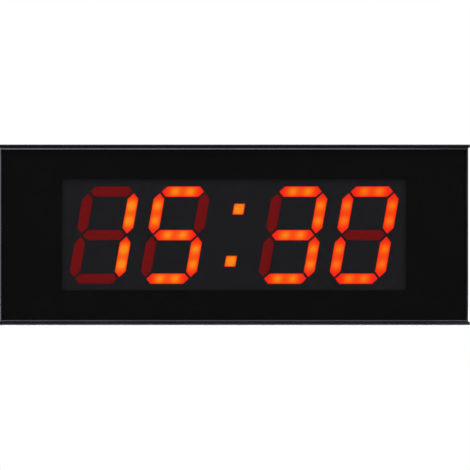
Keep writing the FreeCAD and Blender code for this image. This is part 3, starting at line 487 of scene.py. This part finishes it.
def superellipse(half_across, half_up, power, count=48):
    """Points round a rectangle with rounded corners: the higher the power, the sharper they are."""
    turn = full_turn(count)
    across, up = np.cos(turn), np.sin(turn)
    powers = (np.abs(across) / half_across) ** power + (np.abs(up) / half_up) ** power
    reach = powers ** (-1 / power)
    return np.stack([reach * across, reach * up], axis=-1)


# Digits: each diffuser takes its place and size from the box of the CAD node that it stands for.
# Lengths are in millimetres.

SLANT = math.tan(math.radians(10))
# How far the cut ends of a level stroke turn from square to it. Those of an upright one turn by
# what is left to 90 degrees.
POINT = math.radians(43)
# Radius of a diffuser's front edge, and how far the middle of its face rises above that edge.
EDGE, CROWN = 0.35, 0.12
# The lit segments of each digit, and how strongly its LEDs glow, which falls from left to right.
DIGITS = {
    "hour_tens": ("bc", 1.6), "hour_units": ("afgcd", 1.13), "minute_tens": ("abgcd", 1.0),
    "minute_units": ("abcdef", 0.77)}
LETTERS, LEVEL_LETTERS = "abcdefg", "adg"
DOTS, DOT_GLOW = ("colon_upper_dot", "colon_lower_dot"), 1.0
# Distance of a stroke's two glows from its middle, and the distance over which their light falls to
# a quarter.
GLOW_PLACE, GLOW_SPREAD = 5.85, 4.5
# Width of the dimmer rim of a lit face, and the share of light that is left at its very edge.
RIM, RIM_LIGHT = 0.9, 0.35


def stroke(tip, half, angle):
    """Points round a bar with pointed ends, as (along, across) pairs.

    Its corners are (tip, 0) and (tip - half * tan of the angle, half), mirrored about both axes.
    """
    flat = tip - half * math.tan(angle)
    corners = [(tip, 0), (flat, half), (-flat, half), (-tip, 0), (-flat, -half), (flat, -half)]
    return points_round(corners, (5, 16, 5, 5, 16, 5))


def outline_of(kind, length, height):
    """Half the width of a diffuser in a box of that length and height, and its outline by inset.

    Drawn in by an inset, a tip moves in by the inset over the cosine of the angle of its cut. The
    box of an upright stroke is as long as the stroke is wide and its sides lean.
    """
    if kind == "dot":
        half = height / 2
        return half, lambda inset: rectangle(half - inset, half - inset, 8)
    if kind == "level":
        half, tip, angle = height / 2, length / 2, POINT
    else:
        tip, angle = height / 2, math.pi / 2 - POINT
        half = (length / 2 - tip * SLANT) / (1 - SLANT * math.tan(angle))
    return half, lambda inset: stroke(tip - inset / math.cos(angle), half - inset, angle)


def face_rings(half, front, back):
    """Insets and depths of the rings of a tablet, from its back to the middle of its crowned face.

    Its front edge is a quarter circle of radius EDGE, and the face a parabola that rises by CROWN.
    The last ring stays just short of the middle line.
    """
    arc = np.linspace(0, np.pi / 2, 6)
    inner = np.linspace(EDGE, half, 7)[1:]
    crown = CROWN * (1 - ((half - inner) / (half - EDGE)) ** 2)
    insets = np.concatenate([[EDGE / 2, 0], EDGE * (1 - np.cos(arc)), inner])
    rises = np.concatenate([EDGE * np.sin(arc) - EDGE, crown]) - CROWN
    depths = np.concatenate([[back, back - EDGE / 2], front - rises])
    return np.minimum(insets, 0.995 * half), depths


def glow_of(along, across, inset, place):
    """The light of LEDs at place and -place along a stroke, dimmed smoothly in its rim.

    It is the sum of 1 / (1 + (d / GLOW_SPREAD)^2)^2 over the distances d from them, up to 1.
    """
    squares = [(along - side * place) ** 2 + across ** 2 for side in (-1, 1)]
    light = np.clip(sum((1 + square / GLOW_SPREAD ** 2) ** -2.0 for square in squares), 0, 1)
    rim = np.clip(inset / RIM, 0, 1)
    return light * (RIM_LIGHT + (1 - RIM_LIGHT) * rim * rim * (3 - 2 * rim))


def with_ends(rings):
    """Values at closed_skin's points: those of the rings, then the means of the first and last."""
    rings = np.array(rings)
    values = rings.reshape(-1, rings.shape[-1])
    return np.concatenate([values, rings[:1].mean(axis=1), rings[-1:].mean(axis=1)])


def add_diffuser(node, kind, strength):
    """A tablet with a crowned face, skinned over rings of its outline drawn in to its middle line.

    strength is how strongly its LEDs glow, and 0 where they are off.
    """
    low, high = box_of(node)
    middle = (low + high) / 2
    half, outline = outline_of(kind, *(high - low)[[0, 2]])
    glow_place = 0 if kind == "dot" else GLOW_PLACE
    rings, places, glows = [], [], []
    for inset, depth in zip(*face_rings(half, low[1], high[1])):
        along, across = outline(inset).T
        right, up = (across, along) if kind == "upright" else (along, across)
        depths = np.full(len(up), depth)
        rings.append(np.stack([middle[0] + right + up * SLANT, depths, middle[2] + up], axis=-1))
        places.append(np.stack([along, across, np.full(len(up), inset)], axis=-1))
        glows.append(strength * glow_of(along, across, inset, glow_place)[:, None])
    name = node.replace("segment_", "diffuser_").replace("_dot", "_diffuser")
    material = LIT_POLYCARBONATE if strength else UNLIT_POLYCARBONATE
    piece = add_piece(name, closed_skin(np.array(rings) * MM), material, crease=70)
    place = piece.data.attributes.new("stroke_place", "FLOAT_VECTOR", "POINT")
    place.data.foreach_set("vector", with_ends(places).ravel() * MM)
    glow = piece.data.attributes.new("glow", "FLOAT", "POINT")
    glow.data.foreach_set("value", with_ends(glows).ravel())
    stand_for(piece, node, "case")


for digit, (lit_letters, strength) in DIGITS.items():
    for letter in LETTERS:
        kind = "level" if letter in LEVEL_LETTERS else "upright"
        add_diffuser(f"{digit}_segment_{letter}", kind, strength if letter in lit_letters else 0)
for node in DOTS:
    add_diffuser(node, "dot", DOT_GLOW)


# Screws, buttons and the power socket, in millimetres.

HEAD_RADIUS = 2.3
THREAD_PITCH, THREAD_DEPTH, CORE_RADIUS = 0.45, 0.2, 1.02


def screw_rings():
    """A countersunk M2.5 screw along Z, head face at 0 and tip at -8 mm.

    The socket is a hexagon with a round bevel at its mouth, and the head is a 45 degree cone.
    The thread is a triangle wave of the height less the turn times the pitch.
    """
    head = [
        (0.05, -0.9, 6), (0.8, -0.9, 6), (0.8, -0.12, 6), (0.95, 0), (2.12, 0), (2.28, -0.08),
        (HEAD_RADIUS, -0.16), (1.3, -1.1), (1.12, -1.3)]
    turn = full_turn(48)
    heights = np.linspace(-1.4, -7.5, 84)[:, None]
    phase = (heights / THREAD_PITCH - turn / (2 * np.pi)) % 1.0
    thread = polar(CORE_RADIUS + THREAD_DEPTH * np.abs(2 * phase - 1), turn, heights)
    tip = [(1.0, -7.6), (0.75, -8.0), (0.1, -8.0)]
    return np.concatenate([round_the_axis(head), thread, round_the_axis(tip)]) * MM


def add_screws(name, node, places, axes):
    """Screws at places, each turned so that its own X, Y and Z point along three axes."""
    rings = screw_rings()
    skins = [
        closed_skin(rings @ np.array(turned, float) + np.array(place) * MM)
        for place, turned in zip(places, axes)]
    stand_for(add_piece(name, joined(skins), BLACK_OXIDE, crease=35), node, "case")


corners = [(right, top) for right in (-1, 1) for top in (-1, 1)]
low, high = box_of("end_plate_screws")
depth, level = (low[1] + high[1]) / 2, high[2] - HEAD_RADIUS
add_screws(
    "end_plate_socket_screws", "end_plate_screws",
    [(right * high[0], depth, top * level) for right, top in corners],
    [((0, right, 0), (0, 0, 1), (right, 0, 0)) for right, top in corners])
low, high = box_of("rear_cover_screws")
across, level = high[0] - HEAD_RADIUS, high[2] - HEAD_RADIUS
add_screws(
    "cover_socket_screws", "rear_cover_screws",
    [(right * across, high[1], top * level) for right, top in corners],
    [((-1, 0, 0), (0, 0, 1), (0, 1, 0)) for right, top in corners])

CAP_RADIUS, CAP_EDGE = 3.0, 0.5
COLLAR_SIDE, COLLAR_HEIGHT, COLLAR_CORNER, COLLAR_BEVEL = 7.8, 3.3, 0.8, 0.2
PLUNGER_SIDE, PLUNGER_CORNER, PLUNGER_DEPTH = 3.0, 0.1, 2.0


def squared(side, corner):
    """Points round a square whose corners are about as round as a circle with the radius corner."""
    return superellipse(side / 2, side / 2, 2 + side / corner)


def button_rings(height):
    """A button cap along Z from its face up: a dished round face, a rounded edge, a square collar,
    and the square hole that its plunger fills."""
    dish = [(0.05, 0.3), (0.8, 0.28), (1.6, 0.18), (2.2, 0.05)]
    edge = [
        (CAP_RADIUS - CAP_EDGE + CAP_EDGE * math.sin(turn), CAP_EDGE - CAP_EDGE * math.cos(turn))
        for turn in np.linspace(0, np.pi / 2, 7)]
    foot = height - COLLAR_HEIGHT
    neck = [(CAP_RADIUS, 1.2), (CAP_RADIUS, foot)]
    collar = [
        (COLLAR_BEVEL, foot), (0, foot + COLLAR_BEVEL), (0, height - COLLAR_BEVEL),
        (COLLAR_BEVEL, height)]
    hole = [(0, height), (0, height - PLUNGER_DEPTH)]
    return np.concatenate([
        round_the_axis(dish + edge + neck),
        raised(lambda inset: squared(COLLAR_SIDE - 2 * inset, COLLAR_CORNER), collar),
        raised(lambda inset: squared(PLUNGER_SIDE - 2 * inset, PLUNGER_CORNER), hole)])


for name in ("set", "down", "up"):
    low, high = box_of(f"{name}_button")
    face = np.array([(low[0] + high[0]) / 2, (low[1] + high[1]) / 2, low[2]])
    rings = button_rings(high[2] - low[2]) + face
    piece = add_piece(f"{name}_button_cap", closed_skin(rings * MM), SATIN_ABS, crease=35)
    stand_for(piece, f"{name}_button", f"{name}_key")

# The power socket along Z, with heights above its mouth. Its bore, from the bottom of its root hole
# to the bevelled mouth, and its pin are (radius, height) pairs, and the sides of its block are
# (inset, height) pairs. The bore is BORE_SHIFT nearer the wall than the middle of the block.
SOCKET_BORE = [(0.6, 12.5), (0.6, 10.0), (3.15, 10.0), (3.15, 0.5), (3.45, 0.0)]
SOCKET_PIN = [
    (0.05, 1.0), (0.7, 1.0), (0.9, 1.12), (1.0, 1.4), (1.0, 10.0), (0.6, 10.0), (0.6, 12.5),
    (0.05, 12.5)]
SOCKET_SIDES = [(0.4, 0.0), (0.12, 0.12), (0.0, 0.4), (0.0, 13.8), (0.12, 14.08), (0.4, 14.2)]
SOCKET_WIDTH, SOCKET_DEPTH, SOCKET_POWER = 9.0, 11.0, 16
BORE_SHIFT = 0.7

low, high = box_of("dc_jack")
mouth = np.array([(low[0] + high[0]) / 2, (low[1] + high[1]) / 2 + BORE_SHIFT, low[2]])
block = raised(
    lambda inset: superellipse(SOCKET_WIDTH / 2 - inset, SOCKET_DEPTH / 2 - inset, SOCKET_POWER),
    SOCKET_SIDES)
rings = np.concatenate([round_the_axis(SOCKET_BORE), block - (0, BORE_SHIFT, 0)])
piece = add_piece("power_socket", closed_skin((rings + mouth) * MM), BLACK_PBT, crease=35)
stand_for(piece, "dc_jack", "case")
rings = round_the_axis(SOCKET_PIN) + mouth
piece = add_piece("power_socket_pin", closed_skin(rings * MM), NICKEL_PLATE, crease=35)
stand_for(piece, "dc_jack_pin", "case")


# Parts on the boards, in millimetres. Each takes its place from the box of the CAD node that it
# stands for.

WALLWARD, ROOMWARD = 1, -1


def on_board(rings, place, way=WALLWARD):
    """The skin of rings of (across, up, height above the board) points at a place on a board."""
    across, up, height = np.moveaxis(np.asarray(rings), -1, 0)
    points = np.stack([place[0] + across, place[1] + way * height, place[2] + up], axis=-1)
    return closed_skin(points * MM)


def stadium(length, width, count=48):
    """Points round a bar with round ends: a circle whose two halves are moved apart."""
    turn = full_turn(count) + np.pi / count
    apart = np.sign(np.cos(turn)) * (length - width) / 2
    return np.stack([width / 2 * np.cos(turn) + apart, width / 2 * np.sin(turn)], axis=-1)


def add_inner(name, skins, material, node, crease=35):
    """One piece of several skins, which replaces a node of the case."""
    stand_for(add_piece(name, joined(skins), material, crease), node, "case")


def foot_of(node):
    """The middle of a node's box across and up, on its side towards the room."""
    low, high = box_of(node)
    middle = (low + high) / 2
    return np.array([middle[0], low[1], middle[2]])


# Coin cell: a steel can with a rounded rim, crimped over a gasket round a smaller cap.
CELL = [
    (0.05, 0.0), (8.2, 0.0), (8.5, 0.1), (8.55, 0.3), (8.7, 0.42), (9.3, 0.42), (9.7, 0.5),
    (9.93, 0.75), (10.0, 1.1), (10.0, 2.75), (9.87, 3.05), (9.55, 3.2), (9.2, 3.2), (9.05, 3.14),
    (0.05, 3.14)]
skin = on_board(round_the_axis(CELL, 72), foot_of("backup_battery"))
add_inner("coin_cell", [skin], STAINLESS_CELL, "backup_battery")

# Electrolytic capacitor: a sleeved can, crimped near its foot, with the sleeve's lip round its top.
CAN = [
    (0.05, 0.0), (3.6, 0.0), (3.85, 0.1), (4.0, 0.35), (4.0, 1.2), (3.9, 1.45), (3.6, 1.7),
    (3.55, 1.85), (3.6, 2.0), (3.9, 2.25), (4.0, 2.5), (4.0, 8.5), (3.88, 8.83), (3.6, 9.0),
    (3.3, 9.0), (3.2, 8.85), (3.15, 8.7), (0.05, 8.7)]
skin = on_board(round_the_axis(CAN), foot_of("smoothing_capacitor"))
add_inner("sleeved_capacitor", [skin], CAPACITOR_SLEEVE, "smoothing_capacitor")

# Crystal: a drawn can with round ends on a thin flange, as (inset, height) pairs.
CRYSTAL = [
    (0.0, 0.0), (0.0, 0.35), (0.08, 0.43), (0.35, 0.45), (0.42, 0.6), (0.42, 3.1), (0.5, 3.32),
    (0.68, 3.45), (0.9, 3.5)]
CRYSTAL_LENGTH, CRYSTAL_WIDTH = 11.0, 4.6
rings = raised(
    lambda inset: stadium(CRYSTAL_LENGTH - 2 * inset, CRYSTAL_WIDTH - 2 * inset), CRYSTAL)
skin = on_board(rings, foot_of("clock_crystal"))
add_inner("crystal_can", [skin], TINNED_METAL, "clock_crystal")

# Chips: two drivers with leads on their long sides, and a controller with leads on all four.
LONG_SIDES, ALL_SIDES = [(0, 1), (0, -1)], [(0, 1), (0, -1), (1, 0), (-1, 0)]
DRIVER = dict(
    half_size=(5.15, 2.65), height=2.3, sides=LONG_SIDES, count=8, pitch=1.27, reach=1.1,
    width=0.42)
CONTROLLER = dict(
    half_size=(5.0, 5.0), height=1.6, sides=ALL_SIDES, count=11, pitch=0.8, reach=1.0,
    width=0.35)
DRIVER_SPACING = 22.0
# The moulded body's (inset, height) pairs, as shares of its height: it is drafted from its middle.
CHIP_BODY = np.array([(0.08, 0.07), (0.0, 0.46), (0.0, 0.54), (0.12, 1.0)])
# Thickness of a lead, and height of its middle line where it lies on the board.
LEAD_THICKNESS, LEAD_FOOT = 0.15, 0.08


def lead_rings(reach, rise, width):
    """A gull-wing lead as (out, across, height) rings: a rectangle carried along a bent line."""
    path = np.array([
        (0, rise), (0.32 * reach, rise), (0.52 * reach, 0.8 * rise), (0.58 * reach, 0.3 * rise),
        (0.74 * reach, LEAD_FOOT), (reach, LEAD_FOOT)])
    run = np.gradient(path, axis=0)
    run /= np.linalg.norm(run, axis=1)[:, None]
    normal = np.column_stack([-run[:, 1], run[:, 0]])
    rings = []
    for hand, side in ((-1, -1), (1, -1), (1, 1), (-1, 1)):
        line = path + normal * side * LEAD_THICKNESS / 2
        beside = np.full(len(line), hand * width / 2)
        rings.append(np.stack([line[:, 0], beside, line[:, 1]], axis=-1))
    return np.stack(rings, axis=1)


def chip_skins(place, half_size, height, sides, count, pitch, reach, width):
    """A chip's moulded body, and its leads: count of them on each side, pitch apart."""
    half_across, half_up = half_size
    body = raised(lambda inset: rectangle(half_across - inset, half_up - inset), CHIP_BODY * height)
    lead = lead_rings(reach, height / 2, width)
    leads = []
    for out in sides:
        out = np.array(out)
        along = out[::-1]
        start = abs(out @ half_size)
        for number in range(count):
            step = (number - (count - 1) / 2) * pitch
            plan = (start + lead[..., :1]) * out + (step + lead[..., 1:2]) * along
            leads.append(on_board(np.concatenate([plan, lead[..., 2:]], axis=-1), place))
    return on_board(body, place), leads


low, high = box_of("control_chips")
driver_place = foot_of("control_chips")
driver_place[0] = low[0] + DRIVER["half_size"][0]
controller_place = foot_of("control_chips")
controller_place[0] = high[0] - CONTROLLER["half_size"][0] - CONTROLLER["reach"]
chips = [
    chip_skins(driver_place, **DRIVER), chip_skins(driver_place + (DRIVER_SPACING, 0, 0), **DRIVER),
    chip_skins(controller_place, **CONTROLLER)]
bodies = [body for body, leads in chips]
add_inner("chip_packages", bodies, CHIP_EPOXY, "control_chips", crease=20)
leads = [lead for body, leads in chips for lead in leads]
add_inner("chip_leads", leads, TINNED_METAL, "control_chips")

# Header between the boards: ten chamfered blocks in a row, each round one square pin. The blocks
# stand on the LED board, and BLOCK and PIN are (inset, height) pairs above it.
PIN_PITCH, PIN_COUNT, PIN_SIDE, PIN_TAPER = 2.54, 10, 0.64, (0.15, 0.3)
BLOCK_HEIGHT, BLOCK_BEVEL, BLOCK_CORNER, BLOCK_GAP = 6.5, 0.1, 0.35, 0.02
BLOCK = [
    (BLOCK_BEVEL, 0.0), (0.0, BLOCK_BEVEL), (0.0, BLOCK_HEIGHT - BLOCK_BEVEL),
    (BLOCK_BEVEL, BLOCK_HEIGHT)]


def chamfered(half_across, half_up, cut):
    """Points round a rectangle with its corners cut at 45 degrees."""
    far, high = half_across - cut, half_up - cut
    return np.array([
        (half_across, -high), (half_across, high), (far, half_up), (-far, half_up),
        (-half_across, high), (-half_across, -high), (-far, -half_up), (far, -half_up)])


low, high = box_of("board_link_header")
middle, half_up = (low + high) / 2, (high[2] - low[2]) / 2
board_back = box_of("led_board")[1][1]
pin_start, pin_end = low[1] - board_back, high[1] - board_back
PIN = [
    (PIN_TAPER[0], pin_start), (0.0, pin_start + PIN_TAPER[1]), (0.0, pin_end - PIN_TAPER[1]),
    (PIN_TAPER[0], pin_end)]
block = raised(
    lambda inset: chamfered(PIN_PITCH / 2 - BLOCK_GAP - inset, half_up - inset, BLOCK_CORNER),
    BLOCK)
pin = raised(lambda inset: rectangle(PIN_SIDE / 2 - inset, PIN_SIDE / 2 - inset), PIN)
places = [
    (low[0] + (number + 0.5) * PIN_PITCH, board_back, middle[2]) for number in range(PIN_COUNT)]
blocks = [on_board(block, place) for place in places]
add_inner("header_blocks", blocks, BLACK_PBT, "board_link_header")
pins = [on_board(pin, place) for place in places]
add_inner("header_pins", pins, NICKEL_PLATE, "board_link_header")

# LEDs: white packages, each with a round cup, two behind each segment and one behind each dot. The
# sides of a package are (inset, height) pairs, and its cup (radius, height) pairs.
LED_LONG, LED_SHORT, LED_HEIGHT = 3.5, 2.8, 1.9
LED_SIDES = [(0.0, 0.0), (0.0, 1.2), (0.06, LED_HEIGHT)]
LED_CUP = [(1.15, LED_HEIGHT), (0.8, 1.25)]
LEVEL_LED_STEP, UPRIGHT_LED_STEP = 5.8, 5.9


def led_rings(width, height):
    """A package from its foot to its cup: rectangles round its sides, then circles down the cup."""
    sides = raised(lambda inset: rectangle(width / 2 - inset, height / 2 - inset, 6), LED_SIDES)
    turn = full_turn(sides.shape[1]) - np.pi / 4
    return np.concatenate([sides, [polar(radius, turn, level) for radius, level in LED_CUP]])


level_led, upright_led = led_rings(LED_LONG, LED_SHORT), led_rings(LED_SHORT, LED_LONG)
led_foot = box_of("leds")[1][1]
packages = []
for digit in DIGITS:
    for letter in LETTERS:
        across, _, up = foot_of(f"{digit}_segment_{letter}")
        for side in (-1, 1):
            if letter in LEVEL_LETTERS:
                led, place = level_led, (across + side * LEVEL_LED_STEP, led_foot, up)
            else:
                step = side * UPRIGHT_LED_STEP
                led, place = upright_led, (across + step * SLANT, led_foot, up + step)
            packages.append(on_board(led, place, ROOMWARD))
for node in DOTS:
    across, _, up = foot_of(node)
    packages.append(on_board(level_led, (across, led_foot, up), ROOMWARD))
add_inner("led_packages", packages, WHITE_PPA, "leds")


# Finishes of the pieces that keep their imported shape

FINISHES = {
    "top_rail": BLACK_ANODISED, "bottom_rail": BLACK_ANODISED,
    "left_end_plate": BLACK_ANODISED_PLATE, "right_end_plate": BLACK_ANODISED_PLATE,
    "rear_cover": POWDER_COAT, "front_panel": SMOKED_ACRYLIC, "window_mask": SCREENED_INK,
    "display_reflector": CHARCOAL_ABS, "led_board": SOLDER_MASK, "control_board": SOLDER_MASK,
    "board_supports": NATURAL_NYLON, "battery_holder": BLACK_PBT, "switch_bodies": BLACK_PBT,
    "set_switch_plunger": GREY_ACETAL, "down_switch_plunger": GREY_ACETAL,
    "up_switch_plunger": GREY_ACETAL,
}
for node, finish in FINISHES.items():
    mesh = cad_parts[node].data
    mesh.materials.clear()
    mesh.materials.append(finish)


# Studio: a pale floor, two soft lamps in front, one overhead and two weak strips in front. The low
# strip draws the line of light on the top rail's lip, and the high one that on the bottom rail's.
# The room in front of the object is dark, so that the panel mirrors little, and the floor ends
# close before it for the same reason.

FLOOR_REACH = {"left": -1.3, "right": 1.3, "front": -0.052, "back": 1.3}
# Depth of the waves in the paper, and their radians per metre across and from front to back.
FLOOR_SAG, FLOOR_WAVES = 0.1 * MM, (2.6, 3.1)
# Light that the paper gives off to the camera and in mirrors, so that it is as white as its room.
PAPER_LIGHT = 0.28
# Light of the room in front of the object, and behind it as things catch it and as mirrors show it.
FRONT_LIGHT, BACK_LIGHT, MIRRORED_LIGHT = 0.095, 0.6, 1.0


def floor_sheet():
    """A flat sheet just under the object, gridded so that its paper can sag in long waves."""
    x = np.linspace(FLOOR_REACH["left"], FLOOR_REACH["right"], 49)
    y = np.linspace(FLOOR_REACH["front"], FLOOR_REACH["back"], 25)
    across, along = np.meshgrid(x, y)
    waves = np.cos(across * FLOOR_WAVES[0]) * np.cos(along * FLOOR_WAVES[1])
    sag = FLOOR_SAG * (1 - waves) / 2
    points = np.stack([across, along, CAD_BOX[0][2] - 0.1 * MM - sag], axis=-1).reshape(-1, 3)
    row, column = np.meshgrid(np.arange(len(y) - 1), np.arange(len(x) - 1), indexing="ij")
    start = (row * len(x) + column).ravel()
    quads = np.stack([start, start + 1, start + len(x) + 1, start + len(x)], axis=-1)
    return points, quads, np.empty((0, 3), int)


def studio_paper():
    """Matt white paper."""
    material, tree = blank_material("studio_paper")
    pulp = add(tree, "TexNoise", {
        "Vector": stretched(tree, (40, 40, 40)), "Scale": 1.0, "Detail": 3.0})
    tone = add(tree, "Mix", {
        "Factor": pulp.outputs["Fac"], COLOUR_A: linear("#e9e9ea"), COLOUR_B: linear("#f0f0f0")},
        data_type="RGBA")
    ray = add(tree, "LightPath")
    seen = add(tree, "Math", {
        0: ray.outputs["Is Camera Ray"], 1: ray.outputs["Is Glossy Ray"]}, operation="ADD")
    lift = add(tree, "Math", {0: seen.outputs[0], 1: PAPER_LIGHT}, operation="MULTIPLY")
    shader = add(tree, "BsdfPrincipled", {
        "Base Color": tone.outputs[MIXED], "Roughness": 0.9, "Specular IOR Level": 0.0,
        "Emission Color": (1, 1, 1, 1), "Emission Strength": lift.outputs[0]})
    add(tree, "OutputMaterial", {"Surface": shader.outputs["BSDF"]})
    return material


def studio_room():
    """White to the camera, and otherwise dark in front of the object and pale behind it.

    The Y of a direction goes from -1 in front to 1 behind, and the light changes between two of its
    values.
    """
    world = bpy.data.worlds.new("studio")
    world.use_nodes = True
    tree = world.node_tree
    tree.nodes.clear()
    ray = add(tree, "LightPath")
    mirrored = add(tree, "Math", {
        0: ray.outputs["Is Glossy Ray"], 1: ray.outputs["Is Transmission Ray"]},
        operation="MAXIMUM")
    behind = add(tree, "MapRange", {
        "Value": mirrored.outputs[0], "To Min": BACK_LIGHT, "To Max": MIRRORED_LIGHT})
    direction = add(tree, "SeparateXYZ", {"Vector": add(tree, "TexCoord").outputs["Generated"]})
    room = add(tree, "MapRange", {
        "Value": direction.outputs["Y"], "From Min": -0.5, "From Max": 0.3, "To Min": FRONT_LIGHT,
        "To Max": behind.outputs["Result"]}, interpolation_type="SMOOTHSTEP")
    strength = add(tree, "Mix", {
        "Factor": ray.outputs["Is Camera Ray"], "A": room.outputs["Result"], "B": 1.0},
        data_type="FLOAT")
    background = add(tree, "Background", {
        "Color": (1, 1, 1, 1), "Strength": strength.outputs["Result"]})
    add(tree, "OutputWorld", {"Surface": background.outputs["Background"]})
    return world


def add_lamp(name, place, aim, size, power):
    """A soft lamp at a place, turned to a point. Its width and height are in metres, its power in
    watts."""
    data = bpy.data.lights.new(name, "AREA")
    data.shape = "RECTANGLE"
    data.size, data.size_y = size
    data.energy = power
    lamp = bpy.data.objects.new(name, data)
    lamp.location = place
    direction = np.array(aim, float) - np.array(place, float)
    lamp.rotation_euler = (
        math.atan2(math.hypot(direction[0], direction[1]), -direction[2]), 0,
        math.atan2(direction[1], direction[0]) - math.pi / 2)
    bpy.context.scene.collection.objects.link(lamp)


floor = add_piece("floor", floor_sheet(), studio_paper())
bpy.context.scene.world = studio_room()
add_lamp("left_lamp", (-1.25, -1.5, 1.8), (0, 0, 0), (1.2, 1.2), 44)
add_lamp("right_lamp", (1.25, -1.5, 1.8), (0, 0, 0), (1.2, 1.2), 44)
add_lamp("overhead_lamp", (0, -0.75, 1.75), (0, 0, 0), (1.3, 1.3), 5)
add_lamp("low_lamp", (-0.08, -0.74, -0.56), (-0.02, 0, 0.066), (0.56, 0.16), 0.75)
add_lamp("high_lamp", (-0.05, -0.74, 0.6), (0, 0, -0.066), (0.6, 0.16), 0.18)
